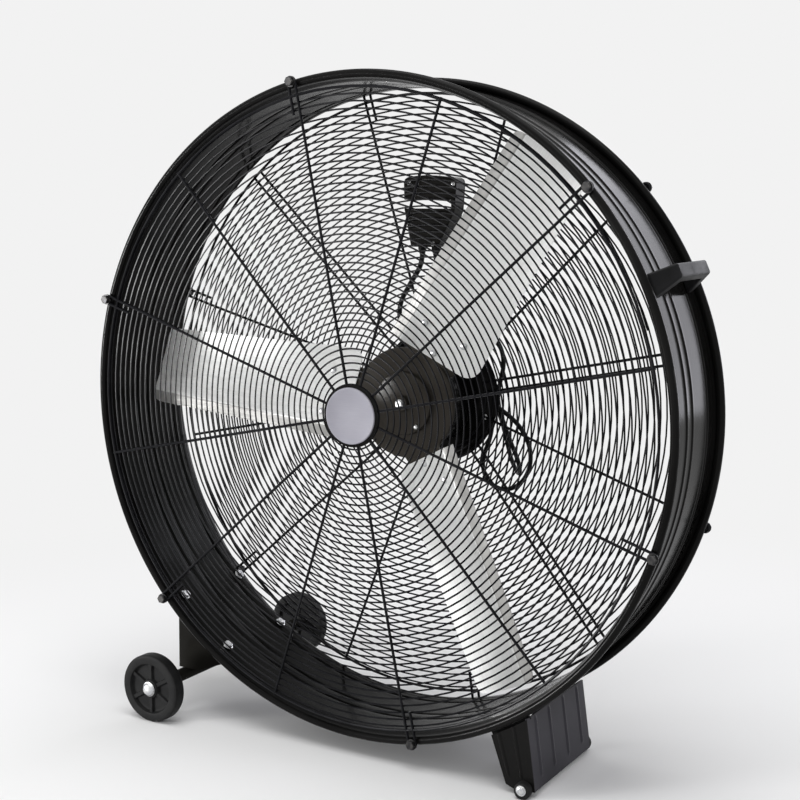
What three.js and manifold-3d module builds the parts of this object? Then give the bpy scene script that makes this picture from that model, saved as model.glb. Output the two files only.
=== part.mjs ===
// A 42-inch portable drum fan, in millimetres, +Z up. The drum's axis runs along Y: the front
// rim is the plane y = 0 while the pieces are made, and air leaves towards -Y. Two wheels on an
// axle stand at the left, a folded foot with rubber bumpers at the right. At the end the whole
// object is shifted so that its origin is the middle of its footprint, on the floor.
import * as THREE from 'three';
import { mergeVertices } from 'three/addons/utils/BufferGeometryUtils.js';
import Module from 'manifold-3d';

const wasm = await Module();
wasm.setup();

// ---- driving dimensions ----
const GAP = 0.3;                    // clearance between pieces that touch
const RIM_RADIUS = 550;             // outside of the rolled rims
const DRUM_DEPTH = 218;             // front rim to rear rim
const WALL_RADIUS = 533;            // outside of the drum's wall
const WALL_THICK = 2.5;
const BEAD_RADIUS = 7;              // rolled edge of each rim
const RIDGES = [65, 101, 169];      // pressed ridges round the wall, from the front rim
const RIDGE_HEIGHT = 3.5;
const FLOOR_Z = -580;               // the floor, below the drum's axis

const WIRE = 5;                     // spoke wire of the guards
const SPIRAL_WIRE = 4.4;            // spiral wire of the guards
const SPOKES = 12;
const FIRST_SPOKE = 12;             // degrees from +X towards +Z
const SPOKE_STEP = 360 / SPOKES;
const GUARD_RING = 523;             // ring that ends the short spokes
const BOLT_CIRCLE = 546;
const EYELET = 6.5;                 // middle radius of a wire loop round a bolt
const STUB_END = 492;               // where the returned end of a looped wire stops
const GUARD_OUTER = 515;            // outer end of each spiral
const FRONT_INNER = 60;             // inner end of the front spiral
const REAR_INNER = 106;             // inner end of the rear spiral
const FRONT_TURNS = 22;
const REAR_TURNS = 20;
const STEPS_A_TURN = 18;
const FRONT_SPOKE_Y = -3;
const REAR_SPOKE_Y = DRUM_DEPTH + 3;
const REAR_CONE = 0.1195;           // rise of the rear guard for each mm towards the axis

const HUB_PLATE_RADIUS = 54;
const BADGE_RADIUS = 49;
const MOUNT_PLATE_RADIUS = 120;
const MOUNT_PLATE_Y = 278;
const MOTOR_RADIUS = 82;
const MOTOR_FRONT = 182;
const SHAFT_RADIUS = 8;
const SHAFT_FIT = SHAFT_RADIUS + GAP;
const SHAFT_FRONT = 141;

const BLADES = 3;
const FIRST_BLADE = 55.5;           // degrees
const BLADE_ROOT = 100;             // straight inner edge, from the axis
const BLADE_TIP = 512;              // radius of the curved outer edge
const BLADE_ROOT_HALF = 77;
const BLADE_TIP_HALF = 67;
const BLADE_ROOT_Y = 153;
const BLADE_TIP_Y = 123;
const BLADE_ROOT_PITCH = 23;        // degrees
const BLADE_TIP_PITCH = 19.5;
const BLADE_CAMBER = 9;
const BLADE_SHEET = 2;

const WHEEL_RADIUS = 61;
const WHEEL_WIDTH = 24;
const AXLE = new THREE.Vector3(-400, 0, FLOOR_Z + WHEEL_RADIUS);
const AXLE_RADIUS = 6;
const TUBE_RADIUS = 11.5;
const FRONT_WHEEL_Y = -43;          // middle planes of the wheels
const REAR_WHEEL_Y = 413;

const SHEET = 3;                    // folded brackets
const FOOT_X = 316;
const FOOT_RADIUS = 15;

const CORD = 8;                     // power cord
const BOX_FRONT = 258;
const BOX_DEPTH = 32;
const COVER = 2;

const HANK = { x: 8, z: 0, y: 293, half: 58, outer: 46, step: 8.8, turns: 5,
  rise: 8.8, waist: 11, spread: 24 };

// ---- materials ----
const finish = (color, roughness, metalness) =>
  new THREE.MeshStandardMaterial({ color, roughness, metalness });
const BLACK_PAINT = finish(0x17171a, 0.35, 0.3);
const BLACK_WIRE = finish(0x111113, 0.4, 0.3);
const BADGE_GREY = finish(0xa8a8b2, 0.45, 0.1);
const ALUMINIUM = finish(0xc9cbce, 0.4, 0.9);
const ZINC = finish(0xb9bcc2, 0.3, 0.95);
const DARK_STEEL = finish(0x2a2a2c, 0.45, 0.8);
const CORE_STEEL = finish(0x6d6f73, 0.5, 0.85);
const BLACK_PLASTIC = finish(0x1d1d1f, 0.55, 0);
const RUBBER = finish(0x141415, 0.8, 0);

// ---- helpers ----
const radians = THREE.MathUtils.degToRad;
const model = new THREE.Group();

function meshGeometry(positions, indices) {
  const geometry = new THREE.BufferGeometry();
  geometry.setAttribute('position', new THREE.Float32BufferAttribute(positions, 3));
  geometry.setIndex(indices);
  return geometry;
}

// The same surface with shared corners, without empty triangles, and facing outwards.
function closed(source) {
  const bare = source.clone();
  bare.deleteAttribute('normal');
  bare.deleteAttribute('uv');
  const merged = mergeVertices(bare, 1e-4);
  const place = merged.getAttribute('position');
  const corners = [new THREE.Vector3(), new THREE.Vector3(), new THREE.Vector3()];
  const kept = [];
  let volume = 0;
  for (let i = 0; i < merged.index.count; i += 3) {
    const face = [0, 1, 2].map((k) => merged.index.getX(i + k));
    if (new Set(face).size < 3) continue;
    face.forEach((vertex, k) => corners[k].fromBufferAttribute(place, vertex));
    volume += corners[0].dot(corners[1].clone().cross(corners[2]));
    kept.push(face);
  }
  if (volume < 0) kept.forEach((face) => face.reverse());
  return meshGeometry(Array.from(place.array), kept.flat());
}

function solid(geometry) {
  const shape = closed(geometry);
  return new wasm.Manifold(new wasm.Mesh({
    numProp: 3,
    vertProperties: new Float32Array(shape.getAttribute('position').array),
    triVerts: new Uint32Array(shape.index.array),
  }));
}

function geometryOf(manifold) {
  const mesh = manifold.getMesh();
  return meshGeometry(Array.from(mesh.vertProperties), Array.from(mesh.triVerts));
}

const joined = (shapes) => shapes.map(solid).reduce((sum, shape) => sum.add(shape));

function add(name, geometry, material, parent = model) {
  const mesh = new THREE.Mesh(closed(geometry), material);
  mesh.name = name;
  parent.add(mesh);
  return mesh;
}

// A ring or knob turned about the Y axis. The profile lists radius and y.
function turned(profile, segments = 24) {
  const points = profile.map(([radius, y]) => new THREE.Vector2(radius, y));
  const hollow = profile.every(([radius]) => radius > 0);
  if (hollow) points.push(points[0].clone());
  return new THREE.LatheGeometry(points, segments);
}

function ringProfile(inner, outer, from, to) {
  return [[inner, from], [outer, from], [outer, to], [inner, to]];
}

function discProfile(outer, from, to) {
  return [[0, from], [outer, from], [outer, to], [0, to]];
}

function box(from, to) {
  const size = to.map((value, k) => value - from[k]);
  const shape = new THREE.BoxGeometry(...size);
  return shape.translate(...from.map((value, k) => value + size[k] / 2));
}

function shapeOf(points) {
  return new THREE.Shape(points.map(([x, z]) => new THREE.Vector2(x, z)));
}

// A flat outline in X and Z, given a thickness from y = from to y = to.
function plate(outline, from, to) {
  const shape = outline instanceof THREE.Shape ? outline : shapeOf(outline);
  const slab = new THREE.ExtrudeGeometry(shape, { depth: to - from, bevelEnabled: false });
  return slab.rotateX(Math.PI / 2).translate(0, to, 0);
}

function arc(radius, fromDegrees, toDegrees, steps) {
  return Array.from({ length: steps + 1 }, (_, k) => {
    const angle = radians(fromDegrees + (toDegrees - fromDegrees) * k / steps);
    return [radius * Math.cos(angle), radius * Math.sin(angle)];
  });
}

// A curved strip that lies on the drum's wall.
function saddle(inner, thick, fromDegrees, toDegrees, from, to, steps = 5) {
  const inside = arc(inner, fromDegrees, toDegrees, steps);
  const outside = arc(inner + thick, toDegrees, fromDegrees, steps);
  return plate([...inside, ...outside], from, to);
}

// A straight wire of four sides between two points.
function rod(start, end, diameter, sides = 4) {
  const along = new THREE.Vector3().subVectors(end, start);
  const radius = diameter / 2;
  const wire = new THREE.CylinderGeometry(radius, radius, along.length(), sides);
  const turn = new THREE.Quaternion().setFromUnitVectors(
    new THREE.Vector3(0, 1, 0), along.clone().normalize());
  const middle = new THREE.Vector3().addVectors(start, end).multiplyScalar(0.5);
  return wire.applyQuaternion(turn).translate(middle.x, middle.y, middle.z);
}

function ringWire(radius, y, diameter, segments) {
  const ring = new THREE.TorusGeometry(radius, diameter / 2, 4, segments);
  return ring.rotateX(Math.PI / 2).translate(0, y, 0);
}

// A tube along a list of points, its section set square to the path and to the Y axis.
function tubeThrough(points, diameter, sides) {
  const axis = new THREE.Vector3(0, 1, 0);
  const positions = [];
  const indices = [];
  points.forEach((point, k) => {
    const before = points[Math.max(k - 1, 0)];
    const after = points[Math.min(k + 1, points.length - 1)];
    const along = new THREE.Vector3().subVectors(after, before).normalize();
    const across = new THREE.Vector3().crossVectors(along, axis).normalize();
    const up = new THREE.Vector3().crossVectors(across, along);
    for (let s = 0; s < sides; s += 1) {
      const angle = 2 * Math.PI * s / sides;
      const corner = point.clone()
        .addScaledVector(across, diameter / 2 * Math.cos(angle))
        .addScaledVector(up, diameter / 2 * Math.sin(angle));
      positions.push(...corner.toArray());
    }
  });
  for (let k = 0; k < points.length - 1; k += 1) {
    for (let s = 0; s < sides; s += 1) {
      const here = k * sides + s;
      const next = k * sides + (s + 1) % sides;
      indices.push(here, next, here + sides, next, next + sides, here + sides);
    }
  }
  const last = (points.length - 1) * sides;
  for (let s = 1; s < sides - 1; s += 1) {
    indices.push(0, s + 1, s);
    indices.push(last, last + s, last + s + 1);
  }
  return meshGeometry(positions, indices);
}

// A round cable along a smooth curve through the points.
function cable(points, diameter, steps, sides = 8) {
  const route = new THREE.CatmullRomCurve3(points.map((p) => new THREE.Vector3(...p)));
  const section = new THREE.Shape();
  section.absarc(0, 0, diameter / 2, 0, 2 * Math.PI, false);
  return new THREE.ExtrudeGeometry(section, {
    steps, extrudePath: route, bevelEnabled: false, curveSegments: sides / 2,
  });
}

function at(radius, degrees, y) {
  const angle = radians(degrees);
  return new THREE.Vector3(radius * Math.cos(angle), y, radius * Math.sin(angle));
}

const spokeAngles = Array.from({ length: SPOKES }, (_, k) => FIRST_SPOKE + SPOKE_STEP * k);
const boltAngles = spokeAngles.filter((_, k) => k % 2 === 1);

// ---- drum ----
const WALL_FROM = 25;               // the wall runs between the two rolled rims
const WALL_TO = 193;
const WALL_INSIDE = WALL_RADIUS - WALL_THICK;

function wallProfile() {
  const outside = RIDGES.flatMap((y) => [
    [WALL_RADIUS, y - 8],
    [WALL_RADIUS + RIDGE_HEIGHT, y],
    [WALL_RADIUS, y + 8],
  ]);
  return [
    [WALL_INSIDE, WALL_FROM],
    [WALL_RADIUS, WALL_FROM],
    ...outside,
    [WALL_RADIUS, WALL_TO],
    [WALL_INSIDE, WALL_TO],
  ];
}

function beadArc(y, fromDegrees, toDegrees) {
  const middle = RIM_RADIUS - BEAD_RADIUS;
  return arc(BEAD_RADIUS, fromDegrees, toDegrees, (toDegrees - fromDegrees) / 45)
    .map(([dr, dy]) => [middle + dr, y + dy]);
}

const FRONT_RIM = [
  ...beadArc(BEAD_RADIUS, 180, 450),
  [WALL_RADIUS, WALL_FROM - GAP],
  [WALL_INSIDE, WALL_FROM - GAP],
];
const REAR_RIM = [
  [WALL_INSIDE, WALL_TO + GAP],
  [WALL_RADIUS, WALL_TO + GAP],
  ...beadArc(DRUM_DEPTH - BEAD_RADIUS, -90, 180),
];

const DRUM_SEGMENTS = 40;
add('drum_wall', turned(wallProfile(), DRUM_SEGMENTS), BLACK_PAINT);
add('front_rim', turned(FRONT_RIM, DRUM_SEGMENTS), BLACK_PAINT);
add('rear_rim', turned(REAR_RIM, DRUM_SEGMENTS), BLACK_PAINT);

// ---- guards ----
// y of a guard's spoke wires at a distance from the axis.
const frontY = () => FRONT_SPOKE_Y;
const rearY = (radius) => REAR_SPOKE_Y + REAR_CONE * (BOLT_CIRCLE - radius);

// A wire that runs out to a bolt on the rim, round it, and back beside itself as a short stub.
function loopedSpoke(heightAt, innerRing, angle) {
  const bolt = at(BOLT_CIRCLE, angle, heightAt(BOLT_CIRCLE));
  const round = [90, 45, 0, -45, -90].map((turn) => bolt.clone().add(at(EYELET, angle + turn, 0)));
  const stub = at(STUB_END, angle, heightAt(STUB_END)).add(at(EYELET, angle - 90, 0));
  return tubeThrough([at(innerRing, angle, heightAt(innerRing)), ...round, stub], WIRE, 4);
}

// Spokes between an inner and an outer ring. Every second spoke loops round a bolt
// on the rim.
function guardFrame(heightAt, innerRing, ringShift) {
  const pieces = [
    ringWire(innerRing, heightAt(innerRing), WIRE, 16),
    ringWire(GUARD_RING, heightAt(GUARD_RING) + ringShift, WIRE, 28),
  ];
  spokeAngles.forEach((angle, k) => {
    if (k % 2 === 0) {
      pieces.push(rod(at(innerRing, angle, heightAt(innerRing)),
        at(GUARD_RING, angle, heightAt(GUARD_RING)), WIRE));
      return;
    }
    pieces.push(loopedSpoke(heightAt, innerRing, angle));
  });
  return geometryOf(joined(pieces));
}

// One wire wound inwards, its radius falling by the same step each turn.
function guardSpiral(heightAt, shift, inner, turns) {
  const steps = turns * STEPS_A_TURN;
  const points = Array.from({ length: steps + 1 }, (_, k) => {
    const radius = GUARD_OUTER + (inner - GUARD_OUTER) * k / steps;
    return at(radius, 360 * k / STEPS_A_TURN, heightAt(radius) + shift);
  });
  return tubeThrough(points, SPIRAL_WIRE, 3);
}

const WIRE_SHIFT = (WIRE + SPIRAL_WIRE) / 2 + GAP;
add('front_guard_frame', guardFrame(frontY, 50, 3), BLACK_WIRE);
add('front_guard_spiral', guardSpiral(frontY, WIRE_SHIFT, FRONT_INNER, FRONT_TURNS), BLACK_WIRE);
add('rear_guard_frame', guardFrame(rearY, 98, -3), BLACK_WIRE);
add('rear_guard_spiral', guardSpiral(rearY, -WIRE_SHIFT - GAP, REAR_INNER, REAR_TURNS), BLACK_WIRE);

const HUB_PLATE_REAR = FRONT_SPOKE_Y - WIRE / 2 - GAP;
const HUB_PLATE_FRONT = HUB_PLATE_REAR - 2.5;
add('front_hub_plate', turned(discProfile(HUB_PLATE_RADIUS, HUB_PLATE_FRONT, HUB_PLATE_REAR)),
  BLACK_PAINT);
add('badge_disc', turned([
  [0, HUB_PLATE_FRONT - GAP],
  [BADGE_RADIUS, HUB_PLATE_FRONT - GAP],
  [BADGE_RADIUS, HUB_PLATE_FRONT - GAP - 1.2],
  [BADGE_RADIUS - 4, HUB_PLATE_FRONT - GAP - 2.4],
  [0, HUB_PLATE_FRONT - GAP - 2.4],
]), BADGE_GREY);

// A hexagon head on the eyelet of a looped spoke.
function guardBolt(angle, from, to) {
  const head = turned(discProfile(9, from, to), 6);
  const place = at(BOLT_CIRCLE, angle, 0);
  return head.translate(place.x, 0, place.z);
}

boltAngles.forEach((angle, k) => {
  const front = FRONT_SPOKE_Y - WIRE / 2 - GAP;
  const rear = REAR_SPOKE_Y + WIRE / 2 + GAP + REAR_CONE * EYELET * 1.5;
  add(`front_guard_bolt_${k + 1}`, guardBolt(angle, front - 7, front), DARK_STEEL);
  add(`rear_guard_bolt_${k + 1}`, guardBolt(angle, rear, rear + 7), DARK_STEEL);
});

// ---- motor ----
const BEARING_OUTER = 16;
const BODY_FRONT = MOTOR_FRONT + 18;
const BODY_REAR = 258;
const REAR_BELL_END = MOUNT_PLATE_Y - GAP;

add('motor_mount_plate', turned(discProfile(MOUNT_PLATE_RADIUS, MOUNT_PLATE_Y,
  MOUNT_PLATE_Y + SHEET), 32), BLACK_PAINT);
// The housing's band with the stator's core pressed into it.
const STATOR_INSIDE = 47;
const BAND_INSIDE = MOTOR_RADIUS - 4;
add('motor_body', turned([
  [BAND_INSIDE, BODY_FRONT + GAP],
  [MOTOR_RADIUS, BODY_FRONT + GAP],
  [MOTOR_RADIUS, BODY_REAR - GAP],
  [BAND_INSIDE, BODY_REAR - GAP],
  [BAND_INSIDE, 250],
  [STATOR_INSIDE, 250],
  [STATOR_INSIDE, 206],
  [BAND_INSIDE, 206],
], 28), BLACK_PAINT);
add('motor_front_bell', turned([
  [BEARING_OUTER, MOTOR_FRONT],
  [30, MOTOR_FRONT],
  [36, MOTOR_FRONT + 4],
  [MOTOR_RADIUS - 6, MOTOR_FRONT + 6],
  [MOTOR_RADIUS, MOTOR_FRONT + 12],
  [MOTOR_RADIUS, BODY_FRONT],
  [BEARING_OUTER, BODY_FRONT],
], 28), BLACK_PAINT);
add('motor_rear_bell', turned([
  [0, REAR_BELL_END - 3],
  [BEARING_OUTER, REAR_BELL_END - 3],
  [BEARING_OUTER, BODY_REAR],
  [MOTOR_RADIUS, BODY_REAR],
  [MOTOR_RADIUS, REAR_BELL_END - 8],
  [MOTOR_RADIUS - 8, REAR_BELL_END],
  [0, REAR_BELL_END],
], 28), BLACK_PAINT);
add('front_bearing', turned(ringProfile(SHAFT_FIT, BEARING_OUTER - GAP,
  MOTOR_FRONT + 3, MOTOR_FRONT + 15), 16), ZINC);
add('rear_bearing', turned(ringProfile(SHAFT_FIT, BEARING_OUTER - GAP, 261, 273), 16), ZINC);

// ---- turning parts ----
add('motor_shaft', turned(discProfile(SHAFT_RADIUS, SHAFT_FRONT, 272), 16), ZINC);
add('rotor_core', turned(ringProfile(SHAFT_FIT, STATOR_INSIDE - 2 * GAP, 208, 248), 24), CORE_STEEL);

const bladeSlope = (u) =>
  Math.tan(radians(BLADE_ROOT_PITCH + (BLADE_TIP_PITCH - BLADE_ROOT_PITCH) * u));
const bladeMiddle = (u) => BLADE_ROOT_Y + (BLADE_TIP_Y - BLADE_ROOT_Y) * u;

// A thin closed shell over a grid: place(i, j, side) gives its points, side being -1 for the
// front face and 1 for the rear one.
function shell(along, across, place) {
  const positions = [];
  const indices = [];
  for (const side of [-1, 1]) {
    for (let i = 0; i <= along; i += 1) {
      for (let j = 0; j <= across; j += 1) positions.push(...place(i, j, side));
    }
  }
  const row = across + 1;
  const layer = row * (along + 1);
  const quad = (a, b, c, d) => indices.push(a, b, c, a, c, d);
  for (let i = 0; i < along; i += 1) {
    for (let j = 0; j < across; j += 1) {
      const corner = i * row + j;
      quad(corner, corner + row, corner + row + 1, corner + 1);
      quad(layer + corner, layer + corner + 1, layer + corner + row + 1, layer + corner + row);
    }
    const near = i * row;
    const far = near + across;
    quad(near, layer + near, layer + near + row, near + row);
    quad(far, far + row, layer + far + row, layer + far);
  }
  for (let j = 0; j < across; j += 1) {
    const tip = along * row + j;
    quad(j, j + 1, layer + j + 1, layer + j);
    quad(tip, layer + tip, layer + tip + 1, tip + 1);
  }
  return meshGeometry(positions, indices);
}

// A paddle: straight root, curved tip, twisted, and dished towards the rear.
function bladeGeometry() {
  const along = 9;
  const across = 6;
  return shell(along, across, (i, j, side) => {
    const u = i / along;
    const v = 2 * j / across - 1;
    const t = v * (BLADE_ROOT_HALF + (BLADE_TIP_HALF - BLADE_ROOT_HALF) * u);
    const reach = Math.sqrt(BLADE_TIP ** 2 - t ** 2);
    const dish = BLADE_CAMBER * THREE.MathUtils.smoothstep(u, 0.17, 0.5) * (1 - v * v);
    return [
      BLADE_ROOT + (reach - BLADE_ROOT) * u,
      bladeMiddle(u) - t * bladeSlope(u) + dish + side * BLADE_SHEET / 2,
      t,
    ];
  });
}

const HUB_DISC_Y = BLADE_ROOT_Y + 9;
const HUB_DISC_RADIUS = 96;
const ARM_THICK = 4;

// An arm lies flat in the hub's disc, then turns to the blade's pitch and lies behind it.
function hubArm() {
  const stations = [[70, 36], [80, 40], [98, 46], [132, 47], [166, 48]];
  const behind = BLADE_ROOT_Y + BLADE_SHEET / 2 + 1.5;
  const lean = (BLADE_TIP_Y - BLADE_ROOT_Y) / (BLADE_TIP - BLADE_ROOT);
  return shell(stations.length - 1, 2, (i, j, side) => {
    const [x, half] = stations[i];
    const t = (j - 1) * half;
    const front = i < 2 ? HUB_DISC_Y + 1
      : behind + lean * (x - BLADE_ROOT) - t * bladeSlope(0);
    return [x, front + (side + 1) * ARM_THICK / 2, t];
  });
}

// A pressed disc with a thicker middle and three arms, on a bored boss.
function hubSpider() {
  const pieces = [
    turned(discProfile(55, BLADE_ROOT_Y + 1, HUB_DISC_Y + 1), 24),
    turned(discProfile(HUB_DISC_RADIUS, HUB_DISC_Y, HUB_DISC_Y + 6), 28),
    turned(discProfile(22, BLADE_ROOT_Y - 7, BLADE_ROOT_Y + 23), 16),
  ];
  for (let k = 0; k < BLADES; k += 1) {
    pieces.push(hubArm().rotateY(-radians(FIRST_BLADE + 360 * k / BLADES)));
  }
  const bore = solid(turned(discProfile(SHAFT_FIT, 100, 200), 16));
  return geometryOf(joined(pieces).subtract(bore));
}

add('hub_spider', hubSpider(), DARK_STEEL);
for (let k = 0; k < BLADES; k += 1) {
  const blade = add(`blade_${k + 1}`, bladeGeometry(), ALUMINIUM);
  blade.rotation.y = -radians(FIRST_BLADE + 360 * k / BLADES);
}

// ---- control box ----
const BOX_REAR = BOX_FRONT + BOX_DEPTH;
const BOX_BOTTOM = 263;
const SLOT_LOW = 330;
const SLOT_HIGH = 345;
const BOX_OUTLINE = [[-44, BOX_BOTTOM], [10, BOX_BOTTOM], [43, 325], [47, 382], [-13, 388],
  [-59, 383], [-58, SLOT_HIGH], [36, SLOT_HIGH], [36, SLOT_LOW], [-58, SLOT_LOW]];
const UPPER_ROOM = [[-55, 348], [40, 348], [43.5, 379], [-55, 379]];
const LOWER_ROOM = [[-41, BOX_BOTTOM + 3], [8, BOX_BOTTOM + 3], [37, 323], [36, 327],
  [-54, 327]];

function controlBox() {
  const shell = solid(plate(BOX_OUTLINE, BOX_FRONT, BOX_REAR));
  const rooms = [UPPER_ROOM, LOWER_ROOM].map((room) =>
    solid(plate(room, BOX_FRONT + 3, BOX_REAR + 1)));
  return geometryOf(shell.subtract(rooms[0]).subtract(rooms[1]));
}

add('control_box', controlBox(), BLACK_PAINT);
add('control_box_cover', plate(BOX_OUTLINE, BOX_REAR + GAP, BOX_REAR + GAP + COVER), BLACK_PAINT);

const COVER_REAR = BOX_REAR + GAP + COVER;
const KNOB = new THREE.Vector3(-5, COVER_REAR + GAP, 364);
add('speed_knob', turned([[0, 0], [17, 0], [16, 9], [14, 13], [0, 13]], 20)
  .translate(KNOB.x, KNOB.y, KNOB.z), BLACK_PLASTIC);
add('speed_switch', box([-24, BOX_REAR - 22, 352], [14, BOX_REAR - GAP, 376]), BLACK_PLASTIC);

// The lead from the box to the motor, which enters through the mounting plate.
add('motor_lead', cable([
  [-30, 275, BOX_BOTTOM - GAP], [-30, 275, 249], [-36, 277, 228], [-60, 283, 195],
  [-84, 291, 160], [-90, 300, 124], [-74, 304, 96], [-54, 299, 83],
  [-45, 292, 80], [-45, MOUNT_PLATE_Y + SHEET + GAP, 80],
], 9, 26, 6), BLACK_PLASTIC);

// ---- carrying handle ----
const HANDLE_ANGLE = 24.4;
function carryHandle() {
  const seat = WALL_RADIUS + RIDGE_HEIGHT + 2 * GAP;
  const side = new THREE.Shape([
    [26, seat], [46, seat], [74, seat + 31], [140, seat + 31], [166, seat], [188, seat],
    [188, seat + 8], [154, seat + 45], [60, seat + 45], [26, seat + 8],
  ].map(([y, out]) => new THREE.Vector2(out, y)));
  const half = 19;
  const bar = new THREE.ExtrudeGeometry(side, { depth: 2 * half, bevelEnabled: false });
  return bar.translate(0, 0, -half).rotateY(-radians(HANDLE_ANGLE));
}
add('carry_handle', carryHandle(), BLACK_PLASTIC);

// ---- axle and wheels ----
function wheelBracket() {
  const seat = WALL_RADIUS + RIDGE_HEIGHT + 2 * GAP;
  const low = AXLE.z + TUBE_RADIUS + GAP;
  const from = -139.5;
  const to = -119.5;
  const web = [...arc(seat, from, to, 6), [-366, low], [-411, low]];
  const front = 42;
  const rear = 176;
  return geometryOf(joined([
    plate(web, front, front + SHEET),
    plate(web, rear - SHEET, rear),
    saddle(seat, SHEET, from, to, 26, front + SHEET),
    saddle(seat, SHEET, from, to, rear - SHEET, 190),
    box([-411, front, low], [-366, rear, low + SHEET]),
  ]));
}
add('wheel_bracket', wheelBracket(), BLACK_PAINT);

const WHEEL_HALF = WHEEL_WIDTH / 2;
const TUBE_FROM = FRONT_WHEEL_Y + WHEEL_HALF + 1;
const TUBE_TO = REAR_WHEEL_Y - WHEEL_HALF - 1;
add('axle_tube', turned(ringProfile(AXLE_RADIUS + GAP, TUBE_RADIUS, TUBE_FROM, TUBE_TO), 16)
  .translate(AXLE.x, 0, AXLE.z), BLACK_PAINT);

function wheelAxle() {
  const front = FRONT_WHEEL_Y - WHEEL_HALF - 1;
  const rear = REAR_WHEEL_Y + WHEEL_HALF + 1;
  return turned([
    [0, front - 8], [7, front - 7], [10, front - 3], [11, front], [AXLE_RADIUS, front],
    [AXLE_RADIUS, rear], [11, rear], [10, rear + 3], [7, rear + 7], [0, rear + 8],
  ], 12).translate(AXLE.x, 0, AXLE.z);
}
add('wheel_axle', wheelAxle(), ZINC);

function wheel(y) {
  const bore = AXLE_RADIUS + 0.5;
  const face = (sign) => [[bore, 12], [16, 12], [18, 5], [42, 5], [46, 12], [57, 12],
    [WHEEL_RADIUS, 9]].map(([radius, out]) => [radius, sign * out]);
  return turned([...face(-1), ...face(1).reverse()], 18).translate(AXLE.x, y, AXLE.z);
}
add('front_wheel', wheel(FRONT_WHEEL_Y), RUBBER);
add('rear_wheel', wheel(REAR_WHEEL_Y), RUBBER);

// ---- foot ----
function footBracket() {
  const seat = WALL_RADIUS + RIDGE_HEIGHT + 2 * GAP;
  const clear = RIM_RADIUS + 4;
  const flange = [...arc(clear, -62.5, -55.1, 3), [333, -570], [300, -573], [282, -566]];
  const slant = [[317, -454], [333, -570], [333 - SHEET, -570], [317 - SHEET, -454]];
  const neck = [[317, -454], [317 - SHEET, -454], [302.4, -444.8], [305.2, -442.1]];
  return geometryOf(joined([
    plate(flange, 1, 1 + SHEET),
    plate(flange, DRUM_DEPTH - 1 - SHEET, DRUM_DEPTH - 1),
    plate(slant, 1, DRUM_DEPTH - 1),
    plate(neck, 26, 190),
    saddle(seat, SHEET, -67, -55, 26, 190),
  ]));
}
add('foot_bracket', footBracket(), BLACK_PAINT);

// A round bumper, cut flat where it meets the floor.
function rubberFoot(from, to) {
  const sole = 1.5;
  const low = FLOOR_Z + FOOT_RADIUS - sole;
  const bumper = turned(discProfile(FOOT_RADIUS, from, to), 24).translate(FOOT_X, 0, low);
  const ground = box([FOOT_X - 30, from - 1, FLOOR_Z - 20], [FOOT_X + 30, to + 1, FLOOR_Z]);
  return geometryOf(solid(bumper).subtract(solid(ground)));
}
const FOOT_LENGTH = 14;
const FOOT_FRONT = 1 - GAP;
const FOOT_REAR = DRUM_DEPTH - 1 + GAP;
add('front_rubber_foot', rubberFoot(FOOT_FRONT - FOOT_LENGTH, FOOT_FRONT), RUBBER);
add('rear_rubber_foot', rubberFoot(FOOT_REAR, FOOT_REAR + FOOT_LENGTH), RUBBER);

function capBolt(from, to) {
  return turned(discProfile(7, from, to), 8).translate(FOOT_X, 0, FLOOR_Z + FOOT_RADIUS);
}
add('front_foot_bolt', capBolt(FOOT_FRONT - FOOT_LENGTH - GAP - 4,
  FOOT_FRONT - FOOT_LENGTH - GAP), ZINC);
add('rear_foot_bolt', capBolt(FOOT_REAR + FOOT_LENGTH + GAP,
  FOOT_REAR + FOOT_LENGTH + GAP + 4), ZINC);

// Bolts through the drum's wall that hold the wheel bracket, their heads inside the drum.
function wallBolt(angle, y) {
  const inside = WALL_INSIDE - 2;
  const head = new THREE.CylinderGeometry(8, 8, 6, 8).rotateZ(Math.PI / 2);
  head.translate(inside - 3, y, 0);
  return head.rotateY(-radians(angle));
}
[[-136.5, 30], [-123, 30], [-136.5, 190], [-123, 190]].forEach(([angle, y], k) => {
  add(`bracket_bolt_${k + 1}`, wallBolt(angle, y), ZINC);
});

// ---- power cord ----
const GLAND_END = BOX_BOTTOM - GAP - 28;
const GLAND_Y = 275;
const GLAND_X = -1;
const gland = new THREE.LatheGeometry([
  [0, GLAND_END], [CORD / 2 + 1.2, GLAND_END], [7, BOX_BOTTOM - 9], [9, BOX_BOTTOM - 7],
  [9, BOX_BOTTOM - GAP], [0, BOX_BOTTOM - GAP],
].map(([radius, z]) => new THREE.Vector2(radius, z)), 12);
add('cord_gland', gland.rotateX(Math.PI / 2).translate(GLAND_X, GLAND_Y, 0), BLACK_PLASTIC);

// The hank's path: long loops hung upright, wound inwards in the first layer and outwards
// again in the second, and drawn in alike at the waist.
function hankPoint(turn) {
  const { x, y, z, half, outer, step, turns, rise, waist, spread } = HANK;
  const radius = outer - step * Math.min(turn, turns - turn);
  const climb = THREE.MathUtils.clamp((turn - turns / 2) * 2 + 0.5, 0, 1);
  const phase = 24 * (turn - Math.floor(turn + 1e-9));
  const drawn = (height) => waist * Math.exp(-((height / spread) ** 2));
  let across;
  let height;
  if (phase < 4) {
    height = half * (1 - phase / 2);
    across = -(radius - drawn(height));
  } else if (phase < 12) {
    const angle = Math.PI * (phase - 4) / 8;
    across = -radius * Math.cos(angle);
    height = -half - radius * Math.sin(angle);
  } else if (phase < 16) {
    height = half * ((phase - 12) / 2 - 1);
    across = radius - drawn(height);
  } else {
    const angle = Math.PI * (phase - 16) / 8;
    across = radius * Math.cos(angle);
    height = half + radius * Math.sin(angle);
  }
  return new THREE.Vector3(x + across, y + rise * climb, z + height);
}

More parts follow.
